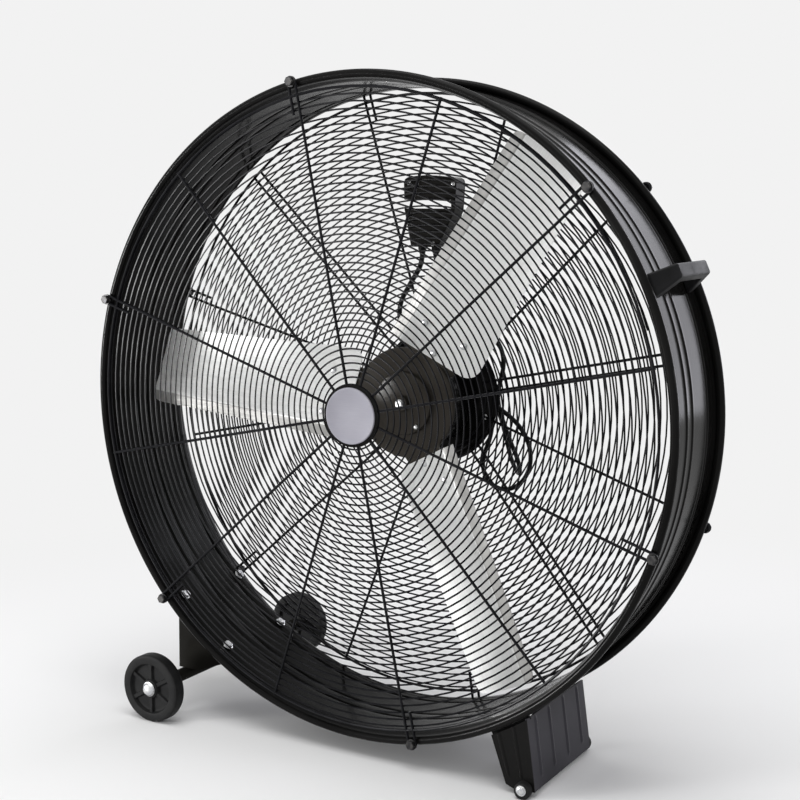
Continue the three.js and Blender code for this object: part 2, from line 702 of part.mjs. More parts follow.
// The cord comes into the hank at its upper right, going up.
const HANK_FIRST = 16;
const hankSteps = 24 * HANK.turns;
const hankPoints = Array.from({ length: hankSteps - HANK_FIRST + 1 },
  (_, k) => hankPoint((k + HANK_FIRST) / 24));
hankPoints[hankPoints.length - 1] = hankPoint(0).setY(HANK.y + HANK.rise);
// Both ends run straight for one diameter.
hankPoints.unshift(hankPoints[0].clone().setZ(hankPoints[0].z - CORD));
hankPoints.push(hankPoints.at(-1).clone().setZ(hankPoints.at(-1).z - CORD));

// Least free space between two stretches of the hank that aren't neighbours along the cord.
function leastGap(points, diameter) {
  const fine = points.slice(1).flatMap((point, k) =>
    [0, 0.25, 0.5, 0.75].map((part) => points[k].clone().lerp(point, part)));
  let least = Infinity;
  for (let i = 0; i < fine.length; i += 1) {
    for (let j = i + 40; j < fine.length; j += 1) {
      least = Math.min(least, fine[i].distanceTo(fine[j]));
    }
  }
  return least - diameter;
}
console.log('least gap in the hank, mm:', leastGap(hankPoints, CORD).toFixed(2));
add('power_cord_hank', tubeThrough(hankPoints, CORD, 6), RUBBER);

const HANK_LEFT = HANK.x - HANK.outer;
const HANK_TOP = HANK.z + HANK.half;
const hankEntry = hankPoints[0];
// From the gland the cord bows down at the right, folds back on itself, comes round in one open
// loop, and goes up into the hank.
add('power_cord', cable([
  [GLAND_X, GLAND_Y, GLAND_END - GAP], [GLAND_X, GLAND_Y, 220], [6, 279, 196], [30, 287, 168],
  [64, 295, 142], [98, 300, 112], [115, 302, 84], [119, 302, 58], [114, 301, 30],
  [110, 300, 4], [114, 299.5, -22], [125, 299, -50], [137, 299, -78], [149, 300.5, -106],
  [150.7, 305, -120.3], [147.2, 314.4, -131.6], [139.3, 326.2, -136.8],
  [129.2, 337.1, -134.6], [119.6, 344.4, -125.5], [113, 346, -112], [103, 350, -84],
  [93, 352, -54], [81, 352, -25], [71, 351, -4], [63, 348, 14], [57.7, 341.1, 28.3],
  [57, 328, 38.7], [60.9, 312.1, 42.3], [68.5, 297.7, 38.2], [77.7, 288.7, 27.5],
  [86, 287.5, 13], [101, 287.5, -2], [118, 288, -16], [135, 288.5, -27], [152, 289, -40],
  [168, 290, -60], [178, 291, -86], [177, 292, -116], [164, 292, -142], [142, 292, -158],
  [116, 292, -160], [95, 292, -147], [85.5, 292, -124], [89, 292, -99], [98, 292.5, -74],
  [102, 294, -48], [99, 297, -24], [91, 299, -4], [79, 298.5, 11], [68, 297, 22],
  [58.5, 295, 33], [52, 293.6, 40.5], [hankEntry.x, HANK.y, hankEntry.z - 2.5],
  [hankEntry.x, HANK.y, hankEntry.z - GAP],
], CORD, 84), RUBBER);

const PLUG = new THREE.Vector3(-35, 324, -50);
add('power_cord_tail', cable([
  [HANK_LEFT, HANK.y + HANK.rise, HANK_TOP - CORD - GAP],
  [HANK_LEFT, HANK.y + HANK.rise, HANK_TOP - CORD - 3], [HANK_LEFT, 303.5, 42],
  [-37, 309, 22], [-36, 315, 2], [PLUG.x, 320, -18], [PLUG.x, 323.5, -36],
  [PLUG.x, PLUG.y, PLUG.z + GAP],
], CORD, 10), RUBBER);

// A moulded three-pin plug, hanging with its pins down.
function plug() {
  const middle = PLUG.y;
  const low = PLUG.z - 36;
  const body = new THREE.LatheGeometry([
    [0, PLUG.z], [6, PLUG.z], [8, PLUG.z - 12], [15, PLUG.z - 17], [17, low], [0, low],
  ].map(([radius, z]) => new THREE.Vector2(radius, z)), 16).rotateX(Math.PI / 2);
  body.translate(PLUG.x, middle, 0);
  const blade = (x) => box([x - 0.8, middle - 6, low - 16], [x + 0.8, middle + 0.4, low + 1]);
  const earth = rod(new THREE.Vector3(PLUG.x, middle + 8, low + 1),
    new THREE.Vector3(PLUG.x, middle + 8, low - 19), 4.8, 8);
  return geometryOf(joined([body, blade(PLUG.x - 6.4), blade(PLUG.x + 6.4), earth]));
}
add('power_plug', plug(), RUBBER);

// A strap round the waist of the hank.
function hankTie() {
  const inner = HANK.outer - HANK.waist + CORD / 2 + 1.8;
  const reach = CORD / 2 + 0.5;
  const band = 1.4;
  const rect = (a, from, to) => [[-a, from], [a, from], [a, to], [-a, to]];
  const strap = shapeOf(rect(inner + band, -reach - band, HANK.rise + reach + band));
  const hole = rect(inner, -reach, HANK.rise + reach).map(([x, y]) => new THREE.Vector2(x, y));
  strap.holes.push(new THREE.Path(hole));
  const height = 8;
  const ring = new THREE.ExtrudeGeometry(strap, { depth: height, bevelEnabled: false });
  return ring.translate(HANK.x, HANK.y, HANK.z - height / 2);
}
add('hank_tie', hankTie(), BLACK_PLASTIC);

// A hook on the mounting plate, which the upper folds hang over.
function cordHook() {
  const radius = 4;
  const base = MOUNT_PLATE_Y + SHEET + GAP;
  const lowestFold = HANK.outer - HANK.step * (HANK.turns - 2 - 20 / 24);
  const level = HANK_TOP + lowestFold - CORD / 2 - GAP - radius;
  const end = HANK.y + HANK.rise + CORD / 2 + 8;
  const point = (y, z) => new THREE.Vector3(HANK.x, y, z);
  return geometryOf(joined([
    box([HANK.x - 36, base, level - 8], [HANK.x + 7, base + SHEET, level + 8]),
    rod(point(base + 1, level), point(end, level), 2 * radius, 8),
    rod(point(end - radius, level - radius + 1), point(end - radius, level + 16), 6, 8),
  ]));
}
add('cord_hook', cordHook(), DARK_STEEL);

// ---- frame ----
// The origin is the middle of the footprint, on the floor, without the cord's own pieces.
const CORD_NODES = ['power_cord', 'power_cord_hank', 'power_cord_tail', 'power_plug', 'hank_tie'];
model.updateMatrixWorld(true);
const bounds = new THREE.Box3();
model.children.filter((mesh) => !CORD_NODES.includes(mesh.name))
  .forEach((mesh) => bounds.expandByObject(mesh, true));
const middle = bounds.getCenter(new THREE.Vector3());
model.position.set(-middle.x, -middle.y, -bounds.min.z);

export default model;
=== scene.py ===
# The looks of a 42-inch portable drum fan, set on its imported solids. Shapes are worked out in
# drum millimetres: the drum's axis is the Y axis, its front rim the plane y = 0, air leaves
# towards -Y, and the floor lies 580 mm below the axis. piece() moves them to the frame.
import math

import bmesh
import bpy
import numpy as np
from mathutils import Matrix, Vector


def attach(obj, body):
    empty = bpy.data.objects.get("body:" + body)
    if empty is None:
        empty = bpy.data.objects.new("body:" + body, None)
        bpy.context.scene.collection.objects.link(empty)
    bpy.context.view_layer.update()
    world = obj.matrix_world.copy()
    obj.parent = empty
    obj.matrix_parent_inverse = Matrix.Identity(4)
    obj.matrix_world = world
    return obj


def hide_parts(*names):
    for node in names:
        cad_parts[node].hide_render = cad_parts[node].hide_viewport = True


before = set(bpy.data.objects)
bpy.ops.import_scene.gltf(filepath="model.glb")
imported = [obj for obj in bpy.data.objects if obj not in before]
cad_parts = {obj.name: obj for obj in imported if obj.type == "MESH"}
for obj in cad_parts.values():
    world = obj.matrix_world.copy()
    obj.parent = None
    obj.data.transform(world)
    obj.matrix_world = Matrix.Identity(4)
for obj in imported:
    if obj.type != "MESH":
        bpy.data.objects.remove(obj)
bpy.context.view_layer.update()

# ---- camera ----
# Stands 2.4 m from the drum, to the right of its front and a little above its middle.
scene = bpy.context.scene


def added(name, data):
    """An object with that data, linked to the scene."""
    thing = bpy.data.objects.new(name, data)
    scene.collection.objects.link(thing)
    return thing


camera = added("camera", bpy.data.cameras.new("camera"))
camera.location = (1.2363, -2.1029, 0.9372)
camera.rotation_euler = Vector((-0.5083, 0.8492, -0.1441)).to_track_quat("-Z", "Y").to_euler()
camera.data.lens = 64.04
camera.data.sensor_width = 36
scene.camera = camera

# ---- power cord ----
# 8 mm three-core flex in a black rubber jacket. It leaves a tapered gland under the control box,
# bows down beside the motor, folds back, comes round in one open loop, and goes up into a hank of
# five loops on a hook behind the motor; a moulded plug ends it.
CORD = 8
ORIGIN = np.array([0, -185, 580])   # the front rim's middle, in the frame


def smooth_line(points, steps):
    """A centripetal Catmull-Rom curve through the points: on each span three rounds of linear
    blends, over knots set apart by the square root of the distance between neighbours."""
    p = np.asarray(points, float)
    p = np.vstack([2 * p[0] - p[1], p, 2 * p[-1] - p[-2]])
    gaps = np.sqrt(np.linalg.norm(np.diff(p, axis=0), axis=1))
    knots = np.concatenate([[0], np.cumsum(gaps)])
    spans = len(p) - 3
    t0, t1, t2, t3 = (knots[k:spans + k, None, None] for k in range(4))
    a, b, c, d = (p[k:spans + k, None] for k in range(4))
    t = t1 + (t2 - t1) * np.linspace(0, 1, steps, endpoint=False)[None, :, None]

    def blend(first, second, start, end):
        return ((end - t) * first + (t - start) * second) / (end - start)

    ab, bc, cd = blend(a, b, t0, t1), blend(b, c, t1, t2), blend(c, d, t2, t3)
    curve = blend(blend(ab, bc, t0, t2), blend(bc, cd, t1, t3), t1, t2)
    return np.vstack([curve.reshape(-1, 3), p[-2]])


def grid_faces(rows, columns, loop=False, ring=False):
    """Quads between neighbours of a grid of points, listed row by row: (i, j), (i, j + 1),
    (i + 1, j + 1), (i + 1, j). loop joins the last row to the first, ring the last column."""
    i = np.arange(rows if loop else rows - 1)[:, None]
    j = np.arange(columns if ring else columns - 1)[None, :]
    low, high = i * columns, (i + 1) % rows * columns
    beside = (j + 1) % columns
    return np.stack([low + j, low + beside, high + beside, high + j], -1).reshape(-1, 4)


def around(count):
    """Angles evenly round a circle, in a column."""
    return (2 * np.pi * np.arange(count) / count)[:, None]


def round_section(radius, sides):
    """Points (r cos a, r sin a), evenly round a circle."""
    return radius * np.hstack([np.cos(around(sides)), np.sin(around(sides))])


def carried(path, section, upright=(0, 1, 0), loop=False):
    """A closed section (u, v) carried along a path: p + u across + v over, where across is square
    to the path and to upright, and over to both. The section may change from point to point."""
    path = np.asarray(path, float)
    ahead = np.roll(path, -1, 0) - np.roll(path, 1, 0) if loop else np.gradient(path, axis=0)
    ahead /= np.linalg.norm(ahead, axis=1, keepdims=True)
    across = np.cross(ahead, upright)
    across /= np.linalg.norm(across, axis=1, keepdims=True)
    over = np.cross(across, ahead)
    section = np.broadcast_to(section, (len(path),) + np.shape(section)[-2:])
    points = path[:, None] + section[..., :1] * across[:, None] + section[..., 1:] * over[:, None]
    rows, sides = points.shape[:2]
    faces = [grid_faces(rows, sides, loop, True)]
    if not loop:
        faces += [np.arange(sides)[None], (rows - 1) * sides + np.arange(sides)[None]]
    return points.reshape(-1, 3), faces


def revolved(radius, y, segments, centre=(0, 0), closed=False):
    """Radius and y set round a Y axis through centre (x, z): (x + r cos a, y, z + r sin a). Both
    may change with the angle. closed joins the profile's end to its start."""
    points = np.stack(np.broadcast_arrays(centre[0] + radius * np.cos(around(segments)), y,
                                          centre[1] + radius * np.sin(around(segments))), -1)
    return points.reshape(-1, 3), [grid_faces(segments, points.shape[1], True, closed)]


def turned(profile, segments, centre=(0, 0), closed=False):
    """A profile of (radius, y) turned about a Y axis."""
    return revolved(*np.asarray(profile, float).T, segments, centre, closed)


def swapped(shape):
    """The shape with y and z exchanged, so that what was made along Y stands along Z."""
    return shape[0][:, [0, 2, 1]], shape[1]


def moved(shape, by):
    return shape[0] + by, shape[1]


def piece(name, shapes, finish, stands_for=(), body="housing", slot=None, sharp=35, bevel=0):
    """Joins shapes, each its points in drum millimetres and its blocks of faces, in one named
    piece: doubles merged, facing outwards, with sharp or rounded edges, in place of CAD nodes,
    riding on a body. The slot, the one given or the finish's own, is worked out but not used."""
    slot = slot or finish.slot
    counts = np.cumsum([0] + [len(points) for points, _ in shapes])
    faces = [face for start, (_, blocks) in zip(counts.tolist(), shapes) for block in blocks
             for face in (np.asarray(block) + start).tolist()]
    mesh = bpy.data.meshes.new(name)
    points = np.vstack([points for points, _ in shapes])
    mesh.from_pydata((points + ORIGIN) / 1000, [], faces)
    work = bmesh.new()
    work.from_mesh(mesh)
    bmesh.ops.remove_doubles(work, verts=work.verts, dist=2e-6)
    bmesh.ops.recalc_face_normals(work, faces=work.faces)
    work.to_mesh(mesh)
    work.free()
    mesh.shade_smooth()
    thing = added(name, mesh)
    if bevel:
        rounded = thing.modifiers.new("rounded", "BEVEL")
        rounded.width = bevel / 1000
        rounded.segments = 3
        rounded.harden_normals = True
    else:
        mesh.set_sharp_from_angle(angle=math.radians(sharp))
    mesh.materials.append(finish.material)
    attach(thing, body)
    if stands_for:
        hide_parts(*stands_for)
    return thing


class Reading:
    """A number read from a node. An expression on readings adds the Math nodes for it."""

    def __init__(self, nodes, socket):
        self.nodes, self.socket = nodes, socket

    def maths(self, operation, first, second):
        return self.nodes.node("Math", {"operation": operation}, {0: first, 1: second})

    def __add__(self, other):
        return self.maths("ADD", self, other)

    def __mul__(self, other):
        return self.maths("MULTIPLY", self, other)

    __radd__, __rmul__ = __add__, __mul__


class Nodes:
    """The nodes of a material or of the world."""

    def __init__(self, tree):
        self.tree = tree

    def node(self, kind, settings=None, inputs=None, output=0):
        """Adds a shader node of that kind, sets its settings, then its sockets."""
        made = self.tree.nodes.new("ShaderNode" + kind)
        for name, value in (settings or {}).items():
            setattr(made, name, value)
        for name, value in (inputs or {}).items():
            if isinstance(value, Reading):
                self.tree.links.new(value.socket, made.inputs[name])
            else:
                made.inputs[name].default_value = value
        return Reading(self, made.outputs[output])

    def spread(self, value, low, high):
        """0 at low, 1 at high, and straight between."""
        return self.node("MapRange", {"clamp": True},
                         {"Value": value, "From Min": low, "From Max": high})


class Finish(Nodes):
    """A material and its slot: its steady values sit on the shader's own sockets."""

    def __init__(self, name, slot=None, **steady):
        self.slot = slot
        self.material = bpy.data.materials.new(name)
        self.material.use_nodes = True
        super().__init__(self.material.node_tree)
        self.shader = self.tree.nodes["Principled BSDF"]
        for socket, value in steady.items():
            self.shader.inputs[socket.replace("_", " ")].default_value = value
        self.place = self.node("TexCoord", output="Object")

    def varies(self, **links):
        for socket, value in links.items():
            self.tree.links.new(value.socket, self.shader.inputs[socket.replace("_", " ")])

    def noise(self, scale, detail, stretch=(1, 1, 1), place=None):
        """Lumps of 1 / scale metres, from about 0.3 to 0.7, drawn out along an axis by stretch."""
        where = self.node("Mapping", {}, {"Vector": place or self.place,
                                          "Scale": tuple(1 / s for s in stretch)})
        return self.node("TexNoise", {}, {"Vector": where, "Scale": scale, "Detail": detail})

    def between(self, mask, low, high):
        """A colour that goes from low to high with the mask."""
        low, high = (c if isinstance(c, Reading) else (*c, 1) for c in (low, high))
        return self.node("Mix", {"data_type": "RGBA"}, {0: mask, 6: low, 7: high}, 2)

    def relief(self, height, depth):
        """Bumps of that depth in metres where the height goes from 0 to 1."""
        bump = self.node("Bump", {}, {"Height": height, "Distance": depth, "Strength": 1.0})
        self.varies(Normal=bump)

    def off_axis(self, middle):
        """Distance from a Y axis through middle (x, z), in metres."""
        offset = self.node("VectorMath", {"operation": "SUBTRACT"},
                           {0: self.place, 1: (middle[0], 0, middle[1])})
        flat = self.node("VectorMath", {"operation": "MULTIPLY"}, {0: offset, 1: (1, 0, 1)})
        return self.node("VectorMath", {"operation": "LENGTH"}, {0: flat}, "Value")


def rubber(name, shade, roughness, grain, depth):
    """Black rubber: cloudy bloom on a dark ground, and a fine grain."""
    finish = Finish(name, "black_rubber", Specular_IOR_Level=0.08)
    cloud = finish.spread(finish.noise(38, 5), 0.35, 0.7)
    speck = finish.spread(finish.noise(1400, 2), 0.62, 0.75)
    base = finish.between(cloud, (shade, shade, shade * 1.03), (shade * 1.9,) * 3)
    finish.varies(Base_Color=finish.between(speck * 0.5, base, (shade * 3,) * 3),
                  Roughness=roughness + 0.16 * cloud)
    finish.relief(finish.noise(grain, 3), depth)
    return finish


def clouded(name, slot, noise, span, shades, rough, grain=None, **steady):
    """A finish whose colour and roughness follow one cloud of noise, over a relief of grain."""
    finish = Finish(name, slot, **steady)
    cloud = finish.spread(finish.noise(*noise), *span)
    finish.varies(Base_Color=finish.between(cloud, *shades), Roughness=rough[0] + rough[1] * cloud)
    if grain:
        finish.relief(finish.noise(*grain[:2]), grain[2])
    return finish


jacket = rubber("cord_jacket", 0.008, 0.42, 900, 0.00012)

HANK = np.array([8, 293, 0])
HALF, OUTER, STEP = 58, 46, 8.8     # half a loop's straight run, the first radius, its step
TURNS, RISE, WAIST, SPREAD = 5, 8.8, 11, 24


def hank_route():
    """Long upright loops, 24 points to a turn, from the first one's upper right. The radius falls
    by STEP a turn to the middle one and grows again in the second layer, RISE behind the first;
    the straight runs are drawn in at the waist by WAIST exp(-(h / SPREAD)^2)."""
    k = np.arange(16, 24 * TURNS + 1)
    turn, phase = k / 24, k % 24
    radius = OUTER - STEP * np.minimum(turn, TURNS - turn)
    climb = np.clip((turn - TURNS / 2) * 2 + 0.5, 0, 1)
    down, up = HALF * (1 - phase / 2), HALF * ((phase - 12) / 2 - 1)
    low, high = np.pi * (phase - 4) / 8, np.pi * (phase - 16) / 8
    part = [phase < 4, phase < 12, phase < 16]
    height = np.select(part, [down, -HALF - radius * np.sin(low), up],
                       HALF + radius * np.sin(high))
    drawn = WAIST * np.exp(-(height / SPREAD) ** 2)
    across = np.select(part, [drawn - radius, -radius * np.cos(low), radius - drawn],
                       radius * np.cos(high))
    return HANK + np.stack([across, RISE * climb, height], -1)


GLAND = (-1, 275, 234.4)            # the gland's end
UNDER_BOX = 262.7                   # z of the tops of what hangs from the control box
BEHIND_PLATE = 281.3                # y of what lies on the rear of the motor's mounting plate
CORD_BOW = [
    GLAND, (-1, 275, 220), (6, 279, 196), (30, 287, 168), (64, 295, 142), (98, 300, 112),
    (115, 302, 84), (119, 302, 58), (114, 301, 30), (110, 300, 4), (114, 299.5, -22),
    (125, 299, -50), (137, 299, -78), (149, 300.5, -106), (150.7, 305, -120.3),
    (147.2, 314.4, -131.6), (139.3, 326.2, -136.8), (129.2, 337.1, -134.6),
    (119.6, 344.4, -125.5), (113, 346, -112), (103, 350, -84), (93, 352, -54), (81, 352, -25),
    (71, 351, -4), (63, 348, 14), (57.7, 341.1, 28.3), (57, 328, 38.7), (60.9, 312.1, 42.3),
    (68.5, 297.7, 38.2), (77.7, 288.7, 27.5), (86, 287.5, 13), (101, 287.5, -2),
    (118, 288, -16), (135, 288.5, -27), (152, 289, -40), (168, 290, -60), (178, 291, -86),
    (177, 292, -116), (164, 292, -142), (142, 292, -158), (116, 292, -160), (95, 292, -147),
    (85.5, 292, -124), (89, 292, -99), (98, 292.5, -74), (102, 294, -48), (99, 297, -24),
    (91, 299, -4), (79, 298.5, 11), (68, 297, 22), (58.5, 295, 33), (52.2, 293.6, 41),
    (48.7, 293.1, 49.5)]
PLUG = np.array([-35, 324, -50])
CORD_TAIL = [(-38, 301.8, 50), (-38, 303.5, 42), (-37, 309, 22), (-36, 315, 2), (-35, 320, -18),
             (-35, 323.5, -36), PLUG - (0, 0, 1)]
route = smooth_line(np.vstack([CORD_BOW, hank_route(), CORD_TAIL]), 5)
cord = piece("flex", [carried(route, round_section(CORD / 2, 12))], jacket,
             ["power_cord", "power_cord_hank", "power_cord_tail"])

# The plug is moulded on the flex: a round waist with finger grooves over a wide base, and three
# bright pins.
grooves = [(5.4 + 0.05 * k + 0.9 * (k % 2), 0.4 - 1.5 * k) for k in range(8)]
plug_body = swapped(turned([(0, 0.8), (4.6, 0.8)] + grooves +
                           [(7.6, -12), (11, -14.4), (15, -17), (16.4, -20), (17, -30), (17, -35),
                            (16.2, -36), (0, -36)], 40))
plug = piece("plug_body", [moved(plug_body, PLUG)], jacket, ["power_plug"], bevel=0.3)

zinc = clouded("zinc_plate", "zinc", (160, 5), (0.35, 0.65),
               ((0.56, 0.57, 0.6), (0.72, 0.72, 0.71)), (0.22, 0.2), (1100, 3, 0.00006),
               Metallic=1.0)


def slab(low, high):
    """A plain block between two corners, its edges for a bevel to round."""
    low, high = np.minimum(low, high), np.maximum(low, high)
    corner = np.array([(i, j, k) for i in (0, 1) for j in (0, 1) for k in (0, 1)])
    faces = np.array([(0, 1, 3, 2), (4, 6, 7, 5), (0, 4, 5, 1), (2, 3, 7, 6), (0, 2, 6, 4),
                      (1, 5, 7, 3)])
    return low + corner * (high - low), [faces]


earth = swapped(turned([(0, -35.5), (2.4, -35.5), (2.4, -53.4), (1.6, -54.8), (0, -55)], 20))
pins = [moved(slab((x - 0.8, -6, -35.5), (x + 0.8, 0.4, -52)), PLUG) for x in (-6.4, 6.4)]
plug_pins = piece("plug_pins", pins + [moved(earth, PLUG + (0, 8, 0))], zinc, bevel=0.3)

# The tie is a flat strap drawn round the hank's waist; the hook is a bent rod on a small
# plate, riveted to the motor's mounting plate.
plastic = clouded("moulded_plastic", "black_plastic", (22, 4), (0.35, 0.65),
                  ((0.009, 0.009, 0.0095), (0.016, 0.016, 0.017)), (0.4, 0.14),
                  (1500, 2, 0.0001), Specular_IOR_Level=0.08)


def rounded_ring(half_x, low_y, high_y, corner):
    """A closed path in X and Y: a rectangle whose corners are quarter circles of 8 points."""
    angle = np.add.outer(np.arange(4), np.linspace(0, 1, 8)) * np.pi / 2
    x = np.array([1, -1, -1, 1])[:, None] * (half_x - corner) + corner * np.cos(angle)
    y = np.array([high_y - corner] * 2 + [low_y + corner] * 2)[:, None] + corner * np.sin(angle)
    return np.stack([x, y, 0 * x], -1).reshape(-1, 3)


strap = carried(rounded_ring(41.5, -5.2, 14, 5), [(-0.7, -4), (0.7, -4), (0.7, 4), (-0.7, 4)],
                (0, 0, 1), True)
tie = piece("cord_tie", [moved(strap, HANK)], plastic, ["hank_tie"], bevel=0.4)
(route + ORIGIN) / 1000

oxide = clouded("black_oxide", "dark_steel", (120, 4), (0.35, 0.7),
                ((0.022, 0.022, 0.024), (0.06, 0.058, 0.056)), (0.34, 0.18), (800, 3, 0.00008),
                Metallic=0.8)

HOOK_LEVEL = 76.57
hook_rod = smooth_line([(8, y, HOOK_LEVEL + up) for y, up in (
    (284, 0), (300, 0), (306, 0), (309.6, 3), (310, 9), (310, 16))], 8)
hook_width = np.interp(np.arange(len(hook_rod)), [0, 18, 30], [4, 3.9, 3])[:, None, None]
rivets = [turned([(0, 286.2), (2.2, 286), (3.8, 285), (4, 284)], 20, (x, HOOK_LEVEL))
          for x in (-21, -8)]
piece("hook", [carried(hook_rod, hook_width * round_section(1, 14), (1, 0, 0)),
               slab((-28, BEHIND_PLATE, HOOK_LEVEL - 8), (15, BEHIND_PLATE + 3, HOOK_LEVEL + 8))]
      + rivets, oxide, ["cord_hook"], bevel=0.5)

# The gland is a moulded strain relief that tapers onto the flex in ribs.
ribs = [(7.1 - 0.2 * k - 0.9 * (k % 2), 252 - 1.5 * k) for k in range(11)]
gland = swapped(turned([(0, UNDER_BOX), (8.4, UNDER_BOX), (9, 262), (9, 256),
                        (8.2, 254.6), (7.2, 254)] +
                       ribs + [(5.1, 235.2), (4.3, 234.7), (0, 234.7)], 40))
piece("strain_relief", [moved(gland, (GLAND[0], GLAND[1], 0))], plastic, ["cord_gland"],
      sharp=50)

# ---- drum ----
# One strip of sheet steel rolled to a ring. Its two edges flare out and are curled back on
# themselves, three ridges are pressed into it, and it is powder-painted black.
AXIS = (0, 0.58)                    # the drum's axis in the frame, x and z in metres
RIM, DEPTH, BEAD = 550, 218, 7
WALL, SHEET = 532.3, 1.4            # the wall's radius and its thickness
WALL_FRONT, WALL_REAR = 25, 204     # where the flares meet the wall
RIDGES, RIDGE_HALF, RIDGE_RISE = (84, 109, 176), 4.5, 2


def powder_paint(name, scuff=0.0, tone=(1.0, 0.97, 0.95)):
    """Glossy black powder paint: faint clouds, pin-prick dust, the ripple of orange peel, and
    where scuff is above 0 the rims' outer edge rubbed paler."""
    finish = Finish(name, "black_paint", Specular_IOR_Level=0.05)
    cloud = finish.spread(finish.noise(5, 5), 0.35, 0.65)
    dust = finish.spread(finish.noise(900, 2), 0.66, 0.8)
    base = finish.between(cloud, tuple(0.0045 * c for c in tone), tuple(0.009 * c for c in tone))
    base = finish.between(dust * 0.35, base, (0.05, 0.049, 0.047))
    rough = 0.1 + 0.08 * cloud + 0.2 * dust
    if scuff:
        edge = finish.spread(finish.off_axis(AXIS), (RIM - 1.2) / 1000, RIM / 1000)
        rubbed = edge * finish.spread(finish.noise(30, 6), 0.5, 0.62) * scuff
        base = finish.between(rubbed, base, (0.06, 0.06, 0.062))
        rough = rough + 0.25 * rubbed
    finish.varies(Base_Color=base, Roughness=rough)
    finish.relief(finish.noise(420, 2), 0.00008)
    return finish


def strip(line, thickness):
    """A line in two dimensions given a thickness: half of it to each side, square to the line."""
    line = np.asarray(line, float)
    ahead = np.gradient(line, axis=0)
    side = ahead[:, ::-1] * (1, -1) / np.linalg.norm(ahead, axis=1, keepdims=True)
    return np.vstack([line + side * thickness / 2, (line - side * thickness / 2)[::-1]])


def arc(radius, start, end, steps):
    """Points (r cos a, r sin a) from one angle in degrees to another."""
    a = np.radians(np.linspace(start, end, steps + 1))
    return np.stack([radius * np.cos(a), radius * np.sin(a)], -1)


def curl(y, start, end):
    """The rolled edge of a rim, between two angles."""
    return (RIM - BEAD, y) + arc(BEAD - SHEET / 2, start, end, 21)


def flare(y_bead, y_wall):
    """From the bead in to the wall, easing at both ends: 3t^2 - 2t^3."""
    t = np.linspace(0, 1, 10)[1:]
    bead = RIM - 2 * BEAD + SHEET / 2
    return np.stack([bead + (WALL - bead) * t * t * (3 - 2 * t), y_bead + (y_wall - y_bead) * t],
                    -1)


wall_y = np.unique(np.concatenate(
    [[WALL_FRONT, WALL_REAR], np.arange(36, 200, 12)] +
    [np.linspace(r - RIDGE_HALF, r + RIDGE_HALF, 13) for r in RIDGES]))
pressed = sum(np.where(np.abs(wall_y - r) < RIDGE_HALF,
                       RIDGE_RISE * np.cos(np.pi * (wall_y - r) / (2 * RIDGE_HALF)) ** 2, 0)
              for r in RIDGES)
drum_line = np.vstack([curl(BEAD, 498, 180), flare(BEAD, WALL_FRONT)[:-1],
                       np.stack([WALL + pressed, wall_y], -1),
                       flare(DEPTH - BEAD, WALL_REAR)[::-1][1:], curl(DEPTH - BEAD, 180, -138)])
drum_paint = powder_paint("drum_paint", scuff=0.6)
piece("drum", [turned(strip(drum_line, SHEET), 240, closed=True)], drum_paint,
      ["drum_wall", "front_rim", "rear_rim"])

# ---- guards ----
# Steel wire, welded and powder-painted: one long spiral on twelve spokes. Every second spoke
# goes round a bolt on the rim and back beside itself. The rear guard is a shallow cone.
FRONT, REAR = (-3, 0), (221, 0.1195)    # each guard's y at its bolts, and its slope
SPOKE, SPIRAL = 4.8, 3
BOLTS, EYE, STUB = 546, 6.5, 492    # radii of the bolts, a loop, and a turned-back wire's end
SPOKE_END, SPIRAL_START, TURN_STEPS = 526, 18, 96
SPOKE_ANGLES = np.arange(12, 372, 30)

wire_paint = Finish("wire_paint", "black_wire", Specular_IOR_Level=0.1)
wire_cloud = wire_paint.spread(wire_paint.noise(14, 5), 0.35, 0.65)
chips = wire_paint.spread(wire_paint.noise(420, 3), 0.7, 0.76)
wire_base = wire_paint.between(wire_cloud, (0.004, 0.004, 0.005), (0.008, 0.008, 0.0095))
wire_paint.varies(Base_Color=wire_paint.between(chips * 0.5, wire_base, (0.05, 0.049, 0.048)),
                  Roughness=0.2 + 0.14 * wire_cloud)
wire_paint.relief(wire_paint.noise(700, 2), 0.0001)


def on_guard(guard, radius, angle, beside=0):
    """A guard's point at a radius and an angle in degrees, set over sideways."""
    a = np.radians(angle)
    y = guard[0] + guard[1] * (BOLTS - radius)
    return np.stack(np.broadcast_arrays(radius * np.cos(a) - beside * np.sin(a), y,
                                        radius * np.sin(a) + beside * np.cos(a)), -1)


def straight_spoke(guard, inner, angle, beside):
    path = on_guard(guard, np.linspace(inner, SPOKE_END, 12), angle, beside)
    return carried(path, round_section(SPOKE / 2, 8))


def looped_spoke(guard, inner, angle, side):
    """Out beside the bolt, half round it, and back on its other side; side is 1 or -1."""
    radius = np.linspace(inner, BOLTS, 14)
    out = on_guard(guard, radius, angle,
                   side * np.interp(radius, [inner, STUB, BOLTS], [0, EYE, EYE]))
    half = side * np.radians(np.linspace(90, -90, 15))[1:-1]
    a = math.radians(angle)
    bolt = on_guard(guard, BOLTS, angle)
    loop = bolt + EYE * np.stack([np.cos(half + a), 0 * half, np.sin(half + a)], -1)
    back = on_guard(guard, np.linspace(BOLTS, STUB, 5), angle, -side * EYE)
    return carried(np.vstack([out, loop, back]), round_section(SPOKE / 2, 8))


def guard_ring(guard, radius):
    path = on_guard(guard, radius, np.arange(TURN_STEPS) * 360 / TURN_STEPS)
    return carried(path, round_section(SPOKE / 2, 8), loop=True)


